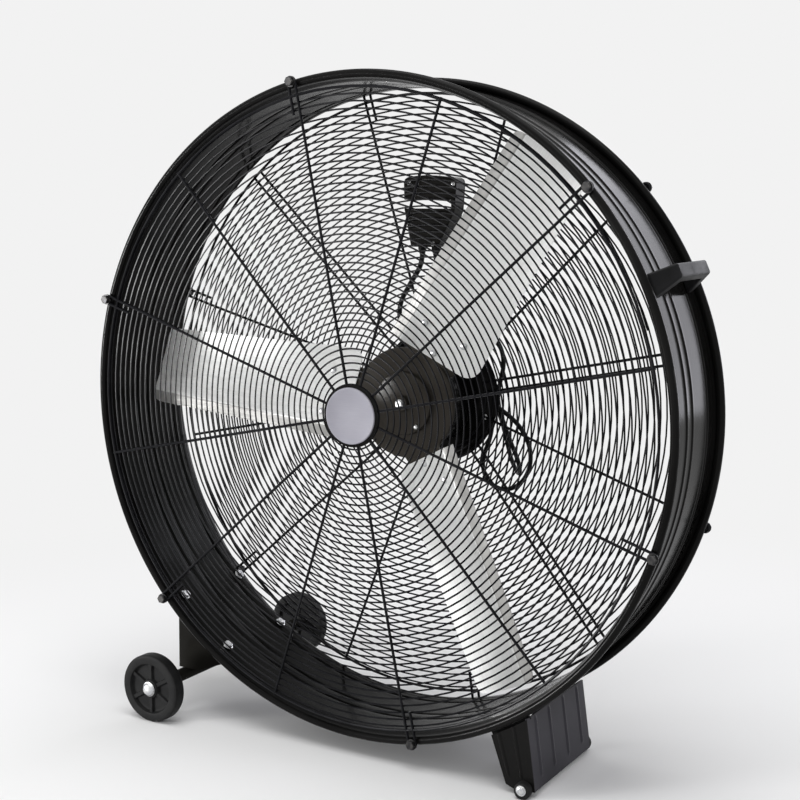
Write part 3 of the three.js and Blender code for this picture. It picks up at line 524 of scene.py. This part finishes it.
def guard_spiral(guard, shift, outer, inner, pitch):
    """One wire wound inwards: the radius falls by the pitch each turn."""
    turns = (outer - inner) / pitch
    t = np.linspace(0, turns, int(turns * TURN_STEPS))
    path = on_guard(guard, outer - pitch * t, SPIRAL_START + 360 * t) + (0, shift, 0)
    return carried(path, round_section(SPIRAL / 2, 6))


rest = (SPOKE + SPIRAL) / 2 - 0.2   # the spiral lies in its welds, 0.2 mm deep
looped = SPOKE_ANGLES[1::2]


def guard_wires(name, guard, side, rings, doubled, spiral):
    """A guard's two pieces. side is where it faces, doubled the angles of its paired spokes."""
    wires = [guard_ring(guard, radius) for radius in rings]
    for angle in SPOKE_ANGLES[::2]:
        pair = (-9, 9) if angle in doubled else (0,)
        wires += [straight_spoke(guard, rings[0], angle, beside) for beside in pair]
    wires += [looped_spoke(guard, rings[0], angle, side) for angle in looped]
    piece(f"{name}_spokes", wires, wire_paint, [f"{name}_guard_frame"])
    piece(f"{name}_spiral", [guard_spiral(guard, -side * rest, *spiral)], wire_paint,
          [f"{name}_guard_spiral"])


guard_wires("front", FRONT, -1, (50, 523), (), (525.9, 55, 11.53))
guard_wires("rear", REAR, 1, (98, 525), (12, 132, 312), (526, 106, 11.1))


def hexagon(across, low, high):
    """A hexagonal head about the Y axis, its outer edge chamfered."""
    r = across / math.sqrt(3)
    edge = 0.12 * (high - low)
    return turned([(0, low), (r, low), (r, high - edge), (0.86 * r, high), (0, high)], 6)


def washer_and_head(seat, side, washer, thick, across, top):
    """A washer on the plane y = seat and a hexagonal head on it; side is where they point."""
    face = seat + side * thick
    return [turned([(0, seat), (washer, seat), (washer, face), (0, face)], 32),
            hexagon(across, face, seat + side * top)]


def ring_of(shape, radius, count, first):
    """Copies of a shape made on the Y axis, set evenly round it."""
    angles = np.radians(first + 360 * np.arange(count) / count)
    return [moved(shape, (radius * math.cos(a), 0, radius * math.sin(a))) for a in angles]


def guard_bolts(name, side, seat):
    """A hexagon bolt with a washer in each looped spoke."""
    washers, heads = (ring_of(shape, BOLTS, 6, looped[0])
                      for shape in washer_and_head(seat, side, 9, 1.4, 13.4, 7))
    piece(name + "s", [shape for pair in zip(washers, heads) for shape in pair], oxide,
          [f"{name}_{k + 1}" for k in range(6)], sharp=25)


guard_bolts("front_guard_bolt", -1, -5.8)
guard_bolts("rear_guard_bolt", 1, 224.97)

# ---- front disc ----
# A pressed steel cap covers the inner ends of the front wires; a plain satin grey disc is set
# into it, bare.
cap_paint = powder_paint("cap_paint")
piece("hub_cap", [turned([(0, -5.8), (50.9, -5.8), (51.5, -6.4), (51.5, -7.7), (50.7, -8.3),
                          (0, -8.3)], 120)], cap_paint, ["front_hub_plate"], sharp=50)

satin = Finish("satin_grey", "grey_disc", Specular_IOR_Level=0.2)
satin_cloud = satin.spread(satin.noise(30, 5), 0.3, 0.7)
satin_lines = satin.spread(satin.noise(1500, 3, (40, 40, 1)), 0.4, 0.65)
satin.varies(Base_Color=satin.between(satin_cloud * 0.6 + satin_lines * 0.4, (0.25, 0.245, 0.28),
                                      (0.29, 0.285, 0.325)),
             Roughness=0.52 + 0.14 * satin_lines)
satin.relief(satin.noise(700, 3), 0.00008)
piece("grey_disc", [turned([(0, -8.6), (46.5, -8.6), (46.5, -10), (45.9, -10.7), (44.9, -11),
                            (43.9, -10.8), (43.3, -10.4), (0, -10.4)], 120)], satin, ["badge_disc"],
      sharp=60)

# ---- motor ----
# A pressed housing band between two bells, bolted through a round plate that is welded to the
# rear guard's wires. All painted black.
MOTOR = 82                          # the bells' radius


def pan_screw(low, side, radius=4.2):
    """A domed screw head whose flat side lies at y = low."""
    return turned([(radius * out, low + side * up) for out, up in (
        (0, 2.9), (0.5, 2.7), (0.85, 1.8), (1, 0.5), (1, 0))], 20)


piece("mount_plate", [turned([(0, 278), (119.2, 278), (120, 278.8), (120, 280.2), (119.2, 281),
                              (100, 281), (97, 281), (0, 281)], 120)], cap_paint,
      ["motor_mount_plate"], sharp=60)
fins = [(MOTOR - 1.4 * (k % 2), 203 + 2.6 * k) for k in range(20)]
piece("motor_band", [turned([(78, 200.3), (MOTOR, 200.3)] + fins + [(MOTOR, 257.7), (78, 257.7)],
                            96, closed=True)], cap_paint, ["motor_body"], sharp=60)
piece("motor_front", [turned([(16, 182), (30, 182), (33, 182.6), (36, 186), (60, 187),
                              (MOTOR - 6, 188), (MOTOR - 2, 190), (MOTOR, 194), (MOTOR, 200),
                              (16, 200)], 96, closed=True)] +
      ring_of(turned([(0, 184), (5.5, 184), (6.5, 185), (6.5, 190), (0, 190)], 24), 68, 4, 20),
      cap_paint, ["motor_front_bell"], sharp=50)
piece("motor_rear", [turned([(0, 274.7), (16, 274.7), (16, 258), (MOTOR, 258), (MOTOR, 269),
                             (MOTOR - 3, 274.5), (MOTOR - 8, 277.7), (0, 277.7)], 96)],
      cap_paint, ["motor_rear_bell"], sharp=50)
piece("plate_bolts", ring_of(hexagon(11, 281, 286), 100, 4, -18) +
      ring_of(pan_screw(278, -1, 5.5), 100.6, 4, -18.7), zinc, sharp=25)

core = clouded("core_steel", "core_steel", (900, 2, (60, 1, 60)), (0.4, 0.6),
               ((0.2, 0.2, 0.21), (0.36, 0.36, 0.36)), (0.38, 0.15), Metallic=1.0)


def dress(finish, *nodes):
    """Gives CAD nodes whose shape is right a finish in their own slots."""
    for node in nodes:
        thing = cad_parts[node]
        if not thing.material_slots:
            thing.data.materials.append(None)
        for held in thing.material_slots:
            held.material = finish.material


dress(core, "rotor_core")
dress(zinc, "front_bearing", "rear_bearing")
dress(plastic, "speed_switch")

# ---- rotor ----
# Three paddles of rolled aluminium sheet, each with three rivets on an arm of the pressed steel
# hub, whose boss is held on the motor's shaft by a screw.
FIRST_BLADE = 55.5
ROOT, TIP, BLADE_SHEET = 100, 512, 2
ROOT_HALF, TIP_HALF, ROOT_Y, TIP_Y = 77, 67, 153, 123
ROOT_PITCH, TIP_PITCH, CAMBER = 23, 19.5, 9
FLANGE, FLANGE_SLOPE, CORNER, TIP_CORNER = 20, -0.5, 24, 12
TAPER = 0.0243                      # how much half a blade narrows for each mm outwards


def blade_y(u, t, half):
    """A blade's y: falls from root to tip, tips over by the pitch, is dished by
    CAMBER (1 - v^2) away from the root, and bends back in a strip along its leading edge."""
    slope = np.tan(np.radians(ROOT_PITCH + (TIP_PITCH - ROOT_PITCH) * u))
    ease = np.clip((u - 0.17) / 0.33, 0, 1)
    dish = CAMBER * ease * ease * (3 - 2 * ease) * (1 - (t / half) ** 2)
    bent = FLANGE_SLOPE * np.maximum(t - (half - FLANGE), 0)
    return ROOT_Y + (TIP_Y - ROOT_Y) * u - t * slope + dish - bent


def shell(points):
    """A thin closed shell from a grid whose columns run across its front and back across its
    rear: the grid's own faces, and both its ends closed."""
    rows, columns = points.shape[:2]
    j = np.arange(columns // 2 - 1)
    ends = [np.stack([j, j + 1, columns - 2 - j, columns - 1 - j], -1) + first
            for first in (0, (rows - 1) * columns)]
    return points.reshape(-1, 3), [grid_faces(rows, columns, ring=True)] + ends


def blade_shape():
    """A tapered sheet from root to tip: its outer end is an arc round the drum's axis with both
    corners rounded, its inner end has the trailing corner rounded."""
    u = np.linspace(0, 1, 61)[:, None]
    v = np.concatenate([np.linspace(-1, 1, 45), np.linspace(1, -1, 45)])[None, :]
    face = np.repeat([-1.0, 1.0], 45)[None, :] * BLADE_SHEET / 2
    half = ROOT_HALF + (TIP_HALF - ROOT_HALF) * u
    t = v * half
    cut = np.clip(CORNER - (t + half), 0, CORNER)
    start = ROOT + CORNER - np.sqrt(CORNER ** 2 - cut ** 2)
    tip_cut = np.clip(TIP_CORNER - (half - np.abs(t)), 0, TIP_CORNER)
    end = np.sqrt(TIP ** 2 - t ** 2) - TIP_CORNER + np.sqrt(TIP_CORNER ** 2 - tip_cut ** 2)
    x = start + (end - start) * u
    y = blade_y(np.clip((x - ROOT) / (TIP - ROOT), 0, 1), t, half) + face
    return shell(np.stack([x, y, t], -1))


def round_drum(shape, degrees):
    """The shape turned about the drum's axis from +X towards +Z."""
    c, s = math.cos(math.radians(degrees)), math.sin(math.radians(degrees))
    x, y, z = shape[0].T
    return np.stack([x * c - z * s, y, x * s + z * c], -1), shape[1]


def rivet(x, t):
    """A domed rivet head on the front of a blade."""
    y = float(blade_y((x - ROOT) / (TIP - ROOT), np.float64(t), ROOT_HALF)) - BLADE_SHEET / 2
    head = turned([(0, -3.2), (3, -2.9), (5.4, -1.8), (6.5, 0.4), (6.5, 1.5)], 20)
    return moved(head, (x, y, t))


aluminium = Finish("rolled_aluminium", "aluminium", Metallic=0.5)
grain_place = aluminium.node("UVMap", {"uv_map": "grain"})
streak = aluminium.spread(aluminium.noise(420, 3, (30, 1, 1), grain_place), 0.38, 0.62)
cloud = aluminium.spread(aluminium.noise(9, 5, (1, 1, 1), grain_place), 0.35, 0.65)
along, across = (aluminium.node("SeparateXYZ", {}, {0: grain_place}, k) for k in (0, 1))
# Painted shade: the strip along each blade's leading edge, over its bent-back flange, is made dark
# grey to stand for the shade on that strip as it tilts away from the light, and its roughness rises
# with it.
leading = aluminium.spread(across + TAPER * along, (ROOT_HALF - FLANGE + 1.5) / 1000,
                           (ROOT_HALF - FLANGE + 3) / 1000)
strip_shade = leading * (0.85 + 0.15 * cloud)
bright = aluminium.between(0.5 * streak + 0.5 * cloud, (0.84, 0.842, 0.835), (0.95, 0.95, 0.94))
aluminium.varies(Base_Color=aluminium.between(strip_shade, bright, (0.28, 0.275, 0.265)),
                 Roughness=0.3 + 0.12 * streak + 0.1 * strip_shade)
aluminium.relief(streak, 0.00006)


def lay_grain(thing, degrees):
    """A UV map in metres: along the blade, and across it."""
    mesh = thing.data
    count = len(mesh.vertices)
    place = np.empty(3 * count)
    mesh.vertices.foreach_get("co", place)
    x, _, z = place.reshape(-1, 3).T
    z = z - AXIS[1]
    a = math.radians(degrees)
    corners = np.empty(len(mesh.loops), int)
    mesh.loops.foreach_get("vertex_index", corners)
    along_across = np.stack([x * math.cos(a) + z * math.sin(a),
                             z * math.cos(a) - x * math.sin(a)], -1)[corners]
    layer = mesh.uv_layers.new(name="grain")
    layer.data.foreach_set("uv", along_across.ravel())


for k in range(3):
    turn = FIRST_BLADE + 120 * k
    blade = piece(f"paddle_{k + 1}", [round_drum(blade_shape(), turn)], aluminium,
                  [f"blade_{k + 1}"], "rotor", sharp=28)
    lay_grain(blade, turn)
piece("rivets", [round_drum(rivet(x, t), FIRST_BLADE + 120 * k) for k in range(3)
                 for x, t in ((110, 0), (150, -35), (150, 35))], zinc, body="rotor")

hub_paint = powder_paint("hub_paint", tone=(5.5, 4.9, 4.2))


def plate(outline, low, high):
    """A flat outline in X and Z with a thickness from y = low to y = high."""
    outline = np.asarray(outline, float)
    sides = len(outline)
    points = np.concatenate([np.insert(outline, 1, y, axis=1) for y in (low, high)])
    ring = np.arange(sides)
    return points, [grid_faces(2, sides, ring=True), ring[None], ring[None] + sides]


HUB_BACK, ARM_SHEET = 163, 4


def arm():
    """An arm, flat in the hub's disc, then, eased by 3e^2 - 2e^3, turned over to the blade's
    lean and pitch, 1.5 mm behind the blade."""
    x = np.concatenate([np.linspace(70, 166, 33), [167.5]])[:, None]
    half = np.interp(x, [70, 80, 98, 132, 162, 166, 167.5], [36, 40, 46, 47, 47.8, 46.5, 44])
    t = half * np.concatenate([np.linspace(-1, 1, 13), np.linspace(1, -1, 13)])[None, :]
    lean = (TIP_Y - ROOT_Y) / (TIP - ROOT)
    behind = ROOT_Y + BLADE_SHEET / 2 + 1.5 + lean * (x - ROOT) - t * math.tan(
        math.radians(ROOT_PITCH))
    e = np.clip((x - 80) / 18, 0, 1)
    y = HUB_BACK + (behind - HUB_BACK) * e * e * (3 - 2 * e)
    y = y + np.repeat([0.0, ARM_SHEET], 13)[None, :]
    return shell(np.stack(np.broadcast_arrays(x, y, t), -1))


hub_disc = turned([(9, 154), (51, 154), (54, 154.8), (55, 156.5), (55, 161.5), (56, 162),
                   (93, 162), (95.3, 163), (96, 165), (96, 168), (9, 168)], 120, closed=True)
boss = turned([(8.4, 146), (13, 146), (14, 147), (14, 154.5), (22, 160), (22, 176), (8.4, 176)],
              48, closed=True)
piece("hub", [hub_disc, boss] + [round_drum(arm(), FIRST_BLADE + 120 * k) for k in range(3)],
      hub_paint, ["hub_spider"], "rotor", "dark_steel")
piece("shaft", [turned([(0, 141), (5.8, 141), (6.5, 141.7), (6.5, 144), (8, 144.4), (8, 272),
                        (0, 272)], 40)], zinc, ["motor_shaft"], "rotor", sharp=25)
piece("hub_screws", [ring_of(pan_screw(154, -1, 4.5), 48, 1, angle)[0]
                     for angle in (-54.6, 149.7)], zinc, body="rotor")

# ---- control box ----
# A folded steel box on the rear guard with an open slot across it. Its cover carries the speed
# knob; a black lead runs from it to the motor.
BOX = [(-44, 263), (10, 263), (43, 325), (46.4, 373), (44.4, 380), (38, 383.4), (17, 386),
       (-13, 388), (-36, 386.4), (-51, 384.4), (-57, 381), (-58.8, 374), (-58, 345), (36, 345),
       (36, 330), (-58, 330)]
BOX_FRONT, BOX_REAR, COVER_REAR = 258, 290, 292.3
box_paint = powder_paint("box_paint", tone=(1.9, 1.8, 1.6))
piece("switch_box", [plate(BOX, BOX_FRONT, BOX_REAR)], box_paint, ["control_box"], bevel=1.6)
piece("box_cover", [plate(BOX, COVER_REAR - 2, COVER_REAR)], box_paint, ["control_box_cover"],
      bevel=0.6)
box_screws = [moved(pan_screw(BOX_FRONT, -1), (x, 0, z))
              for x, z in ((-47, 374), (40, 372), (1, 269))]
cover_screws = [moved(pan_screw(COVER_REAR, 1), (x, 0, z))
                for x, z in ((-50, 376), (38, 374), (0, 270), (-50, 352))]
piece("box_screws", box_screws + cover_screws, zinc)

KNOB = np.array([-5, 292.6, 364])


def knob_shape():
    """A turned knob whose side is fluted: r - 0.55 (1 + cos 20a) on its upper rows."""
    profile = np.array([(0, 0), (16.6, 0), (17, 0.6), (17, 2), (16.2, 2.6), (15.6, 9), (14.2, 12),
                        (12.5, 13), (0, 13)])
    depth = np.array([0, 0, 0, 0, 0.55, 0.55, 0.4, 0, 0])
    steps = 160
    radius = profile[:, 0] - depth * (1 + np.cos(20 * around(steps)))
    return revolved(radius, profile[:, 1], steps)


piece("knob", [moved(knob_shape(), KNOB)], plastic, ["speed_knob"], "knob")
piece("knob_line", [moved(slab((-0.9, 12.8, 3), (0.9, 13.2, 12)), KNOB)], satin, body="knob",
      bevel=0.15)
# The marks lie round the knob where its line points, every 20 degrees from the top.
marks = [round_drum(slab((19.5, 292.2, -0.6), (24 if k % 3 else 26, 292.6, 0.6)), 90 - 20 * k)
         for k in range(7)]
piece("dial_marks", [moved(mark, (KNOB[0], 0, KNOB[2])) for mark in marks], satin, bevel=0.1)

LEAD = [(-30, 275, UNDER_BOX), (-30, 275, 249), (-36, 277, 228), (-60, 283, 195),
        (-84, 291, 160), (-90, 300, 124), (-74, 304, 96), (-54, 299, 83), (-45, 292, 80),
        (-45, BEHIND_PLATE, 80)]
lead_cap = swapped(turned([(0, UNDER_BOX), (7.5, UNDER_BOX), (7.5, 258), (6, 256.5), (5, 250),
                           (0, 250)], 32))
lead_foot = turned([(0, BEHIND_PLATE), (8, BEHIND_PLATE), (8, 284), (6.2, 286), (0, 286)], 32,
                   (-45, 80))
piece("lead", [carried(smooth_line(LEAD, 10), round_section(4.5, 14)),
               moved(lead_cap, (-30, 275, 0)), lead_foot],
      jacket, ["motor_lead"], slot="black_plastic")

# ---- handle ----
# A moulded black grip, screwed to the drum's right side: two sloped blocks and a bar between.
HANDLE = 24.4                       # degrees up from the right
SEAT = 537.1                        # radius of what lies on the drum's outer wall
DRAWN_IN = 0.36                     # how far the grip's underside leans, for each mm outwards
GRIP = np.array([(0, 26), (0, 46), (31, 70), (31, 160), (0, 172), (0, 188), (8, 188), (45, 178),
                 (45, 52), (8, 26)])
grip = plate(GRIP + (SEAT, 0), -19, 19)
grip[0][:len(GRIP), 1] += DRAWN_IN * GRIP[:, 0]
piece("handle", [round_drum(swapped(grip), HANDLE)], plastic, ["carry_handle"], bevel=3.5)


def on_wall(shape, degrees, radius, y, across=0, side=1):
    """A shape made along Y, set on the drum's wall: it points away from the drum's axis, or
    towards it where side is -1."""
    x, z = math.cos(math.radians(degrees)), math.sin(math.radians(degrees))
    axes = np.array([(side * z, 0, -side * x), (side * x, 0, side * z), (0, 1, 0)])
    return shape[0] @ axes + (x * radius - z * across, y, z * radius + x * across), shape[1]


piece("handle_screws", [on_wall(pan_screw(0, 1, 4), HANDLE, SEAT + 6.5, y, across)
                        for y in (33, 181) for across in (-11, 11)], zinc)

# ---- wheels ----
# A folded steel bracket, bolted through the drum's wall, holds a tube with a long zinc axle; a
# solid rubber wheel with a dished, six-spoked face turns on each end.
AXLE = (-400, -519)
WHEEL, BORE = 61, 6.5
BRACKET = (-139.5, -119.5)          # the bracket's ends on the drum, in degrees
BRACKET_FOOT, BRACKET_SHEET = -507.2, 3


def saddle(start, end, low, high):
    """A strip that lies on the drum's wall."""
    outline = np.vstack([arc(SEAT, start, end, 16), arc(SEAT + BRACKET_SHEET, end, start, 16)])
    return plate(outline, low, high)


web = np.vstack([arc(SEAT, *BRACKET, 20), [(-366, BRACKET_FOOT), (-411, BRACKET_FOOT)]])
piece("axle_bracket", [plate(web, 42, 45), plate(web, 173, 176),
                       saddle(*BRACKET, 26, 45), saddle(*BRACKET, 173, 190),
                       slab((-411, 42, BRACKET_FOOT), (-366, 176, BRACKET_FOOT + BRACKET_SHEET))],
      box_paint, ["wheel_bracket"], bevel=0.7)
piece("axle_sleeve", [turned([(6.3, -30), (10.8, -30), (11.5, -29), (11.5, 399), (10.8, 400),
                              (6.3, 400)], 40, AXLE, True)], box_paint, ["axle_tube"])
dome = [(0, 8), (3.6, 7.8), (7.2, 6.9), (10, 5), (11.7, 2.6), (12.2, 1.2), (13, 1), (13, 0),
        (6, 0)]
piece("axle", [turned([(r, -56 - y) for r, y in dome] + [(r, 426 + y) for r, y in dome[::-1]],
                      40, AXLE)], zinc, ["wheel_axle"], sharp=40)

tyre = rubber("tyre_rubber", 0.01, 0.5, 260, 0.0003)


def wheel_shape(y):
    """A closed profile. In the dished part its depth is that of the dish, raised to a rib where
    a point is within 3.3 mm of one of six lines from the middle, and fading out to 4.2 mm."""
    face = np.array([(BORE, 12), (7.5, 12), (15, 12), (16, 11.6), (17, 8), (18, 5), (21, 5),
                     (26, 5), (32, 5), (38, 5), (41, 5), (42.5, 5.6), (44, 8.6), (45.4, 11.6),
                     (46.6, 12), (56, 12), (58, 11.7), (60.2, 10.6), (WHEEL, 9)])
    tread = np.array([(WHEEL, 5.2), (59.6, 4.6), (59.6, 3), (WHEEL, 2.4)])
    radius = np.concatenate([face[:, 0], tread[:, 0], tread[::-1, 0], face[::-1, 0]])
    depth = np.concatenate([-face[:, 1], -tread[:, 1], tread[::-1, 1], face[::-1, 1]])
    steps = 240
    off = np.abs(radius * np.sin((around(steps) - np.pi / 3) % (np.pi / 3) - np.pi / 6))
    rib = np.clip((4.2 - off) / 0.9, 0, 1) * (radius > 16.5) * (radius < 45)
    raised = np.maximum(np.abs(depth), 5 + 4.4 * rib) * np.sign(depth)
    return revolved(radius, y + raised, steps, AXLE, True)


for name, y in (("front", -43), ("rear", 413)):
    piece(f"{name}_tyre", [wheel_shape(y)], tyre, [f"{name}_wheel"], f"{name}_wheel", sharp=30)

# The bracket's bolts are flanged hexagon heads inside the drum's wall.
INSIDE = 528.5
bolt = [hexagon(13, 1.4, 6), turned([(0, 0), (9.2, 0), (9.2, 0.8), (8, 1.6), (0, 1.6)], 32)]
piece("wall_bolts", [on_wall(shape, angle, INSIDE, y, side=-1) for angle in (-136.5, -123)
                     for y in (30, 190) for shape in bolt],
      zinc, [f"bracket_bolt_{k}" for k in range(1, 5)], sharp=25)

# ---- foot ----
# A bracket folded from one sheet: two flanges and a slanted plate between them, all with pressed
# ribs, spot-welded to the drum. A round rubber bumper with a bolt sits at each end.
FOOT_X, FOOT_SHEET = 316, 3
FRONT_FLANGE, REAR_FLANGE = 2.5, 215.5


def sheet(x, y, z):
    """A grid surface of the foot's sheet, half its thickness to each side along the surface's
    normals, closed all round its edge."""
    surface = np.stack([x, y, z], -1)
    normal = np.cross(np.gradient(surface, axis=0), np.gradient(surface, axis=1))
    normal /= np.linalg.norm(normal, axis=2, keepdims=True)
    rows, columns = surface.shape[:2]
    points = np.concatenate([(surface + s * FOOT_SHEET / 2 * normal).reshape(-1, 3)
                             for s in (1, -1)])
    near = grid_faces(rows, columns)
    index = np.arange(rows * columns).reshape(rows, columns)
    edge = np.concatenate([index[0, :-1], index[:-1, -1], index[-1, :0:-1], index[:0:-1, 0]])
    after = np.roll(edge, -1)
    far = rows * columns
    rim = np.stack([edge, after, after + far, edge + far], -1)
    return points, [near, near + far, rim]


def pressed_ribs(across, along, places, half, rise, end):
    """Round-topped ribs across a sheet: rise cos^2 over each rib's width, fading at its ends."""
    ends = np.clip(np.minimum(along - end[0], end[1] - along) / 0.04, 0, 1)
    ends = ends * ends * (3 - 2 * ends)
    hill = sum(np.where(np.abs(across - p) < half,
                        np.cos(np.pi * (across - p) / (2 * half)) ** 2, 0) for p in places)
    return rise * hill * ends


def foot_flange(y, out):
    """From an arc just clear of the rim down to the foot's lower edge; out is the ribs' side."""
    u, v = np.meshgrid(np.linspace(0, 1, 61), np.linspace(0, 1, 41))
    top = arc(554, -62.5, -55.1, 60)[None]
    low_x = np.interp(u, [0, 0.35, 1], [282, 300, 333])
    low_z = np.interp(u, [0, 0.35, 1], [-566, -573, -570])
    x = top[..., 0] * (1 - v) + low_x * v
    z = top[..., 1] * (1 - v) + low_z * v
    rib = pressed_ribs(u, v, (0.2, 0.62), 0.06, 2.2, (-0.1, 0.8))
    return sheet(x, y + out * rib, z)


def foot_plate():
    """The slanted side: from the drum's wall to the floor edge, four ribs running down it."""
    y, v = np.meshgrid(np.linspace(FRONT_FLANGE, REAR_FLANGE, 121), np.linspace(0, 1, 41))
    rib = pressed_ribs((y - 1) / 216, v, (0.14, 0.37, 0.62, 0.87), 0.024, 2.2, (0.02, 0.86))
    return sheet(315.5 + 16 * v + rib, y, -454 - 116 * v)


foot_paint = powder_paint("foot_paint")
piece("foot", [foot_flange(FRONT_FLANGE, -1), foot_flange(REAR_FLANGE, 1)], foot_paint,
      ["foot_bracket"], sharp=40)
# Painted light: the slanted side plate, which faces the light on the right, gets a paint several
# times paler than the flanges' to stand for the light falling on it.
piece("foot_side", [foot_plate()], powder_paint("lit_side_paint", tone=(6, 5.8, 6.8)), sharp=40)
# The neck joins the slanted plate to a strip on the wall; a tab stands behind the front rim.
neck = [(317, -454), (314, -454), (302.4, -444.8), (305.2, -442.1)]
tab = plate(np.vstack([arc(SEAT, -63, -55, 8), arc(556.5, -55, -63, 8)]), 13, 15.5)
piece("foot_neck", [plate(neck, 26, 190), saddle(-67, -55, 26, 190), tab], foot_paint, bevel=0.6)


def bumper(y, out):
    """A turned rubber bumper, its points kept above the floor so that its sole is flat."""
    profile = [(radius, y + out * height) for radius, height in (
        (0, 0), (12.3, 0), (13.7, 1.2), (13.7, 12), (12.9, 13.4), (11.5, 14), (0, 14))]
    points, faces = turned(profile, 64, (FOOT_X, -567))
    points[:, 2] = np.maximum(points[:, 2], -ORIGIN[2])
    return points, faces


ENDS = (("front", 0.7, -1), ("rear", 217.3, 1))
for name, y, out in ENDS:
    piece(f"{name}_bumper", [bumper(y, out)], tyre, [f"{name}_rubber_foot"])
for name, y, out in ENDS:
    shapes = washer_and_head(y + out * 14.3, out, 8.6, 0.9, 11.5, 4)
    piece(f"{name}_bumper_bolt", [moved(shape, (FOOT_X, 0, -565)) for shape in shapes],
          zinc, [f"{name}_foot_bolt"], sharp=25)

# ---- floor and light ----
# A plain pale floor that keeps the fan's shadow and fades into the white background, and large
# soft lamps at a plain level.
WHITE, FLOOR, FLOOR_HALF = 0.888, 0.88, 14


def seen_directly(nodes):
    """1 for camera, glossy and transmitted rays, 0 for the light that falls on things."""
    path = [nodes.node("LightPath", output=name)
            for name in ("Is Camera Ray", "Is Glossy Ray", "Is Transmission Ray")]
    return path[0].maths("MAXIMUM", path[0].maths("MAXIMUM", *path[:2]), path[2])


floor_mesh = bpy.data.meshes.new("floor")
floor_mesh.from_pydata([(x * FLOOR_HALF, y * FLOOR_HALF, 0) for x, y in (
    (-1, -1), (1, -1), (1, 1), (-1, 1))], [], [(0, 1, 2, 3)])
floor = added("floor", floor_mesh)
ground = Finish("floor", Roughness=1.0, Specular_IOR_Level=0.0,
                Base_Color=(FLOOR, FLOOR, FLOOR, 1))
far = ground.node("VectorMath", {"operation": "LENGTH"}, {0: ground.place}, "Value")
fade = ground.spread(far, 0.75, 1.7) * seen_directly(ground)
glow = ground.node("Emission", {}, {"Color": (WHITE, WHITE, WHITE, 1)})
mixed = ground.node("MixShader", {}, {0: fade, 2: glow})
ground.tree.links.new(ground.shader.outputs[0], mixed.socket.node.inputs[1])
ground.tree.links.new(mixed.socket, ground.tree.nodes["Material Output"].inputs["Surface"])
floor_mesh.materials.append(ground.material)

world = bpy.data.worlds.new("studio")
scene.world = world
world.use_nodes = True
sky = Nodes(world.node_tree)
shown = sky.node("Background", {}, {"Color": (WHITE, WHITE, WHITE, 1), "Strength": 1.0})
fill = sky.node("Background", {}, {"Color": (1, 1, 1, 1), "Strength": 0.5})
backdrop = sky.node("MixShader", {}, {0: seen_directly(sky), 1: fill, 2: shown})
sky.tree.links.new(backdrop.socket, sky.tree.nodes["World Output"].inputs["Surface"])


def lamp(name, place, aim, width, height, power, colour=(1, 1, 1)):
    data = bpy.data.lights.new(name, "AREA")
    data.color = colour
    data.shape = "RECTANGLE"
    data.size, data.size_y, data.energy = width, height, power
    thing = added(name, data)
    thing.location = place
    thing.rotation_euler = (Vector(aim) - Vector(place)).to_track_quat("-Z", "Y").to_euler()


lamp("overhead", (0.2, -0.6, 3.4), (0, 0, 0.5), 2.6, 2.6, 66)
lamp("front", (-3.0, -3.2, 0.5), (0, 0, 0.58), 1.0, 0.7, 150)
lamp("back_right", (1.1, 4.8, 1.4), (0.3, 0, 0.6), 3.2, 3.8, 120, (0.92, 0.92, 1.0))

scene.view_settings.view_transform = "Standard"
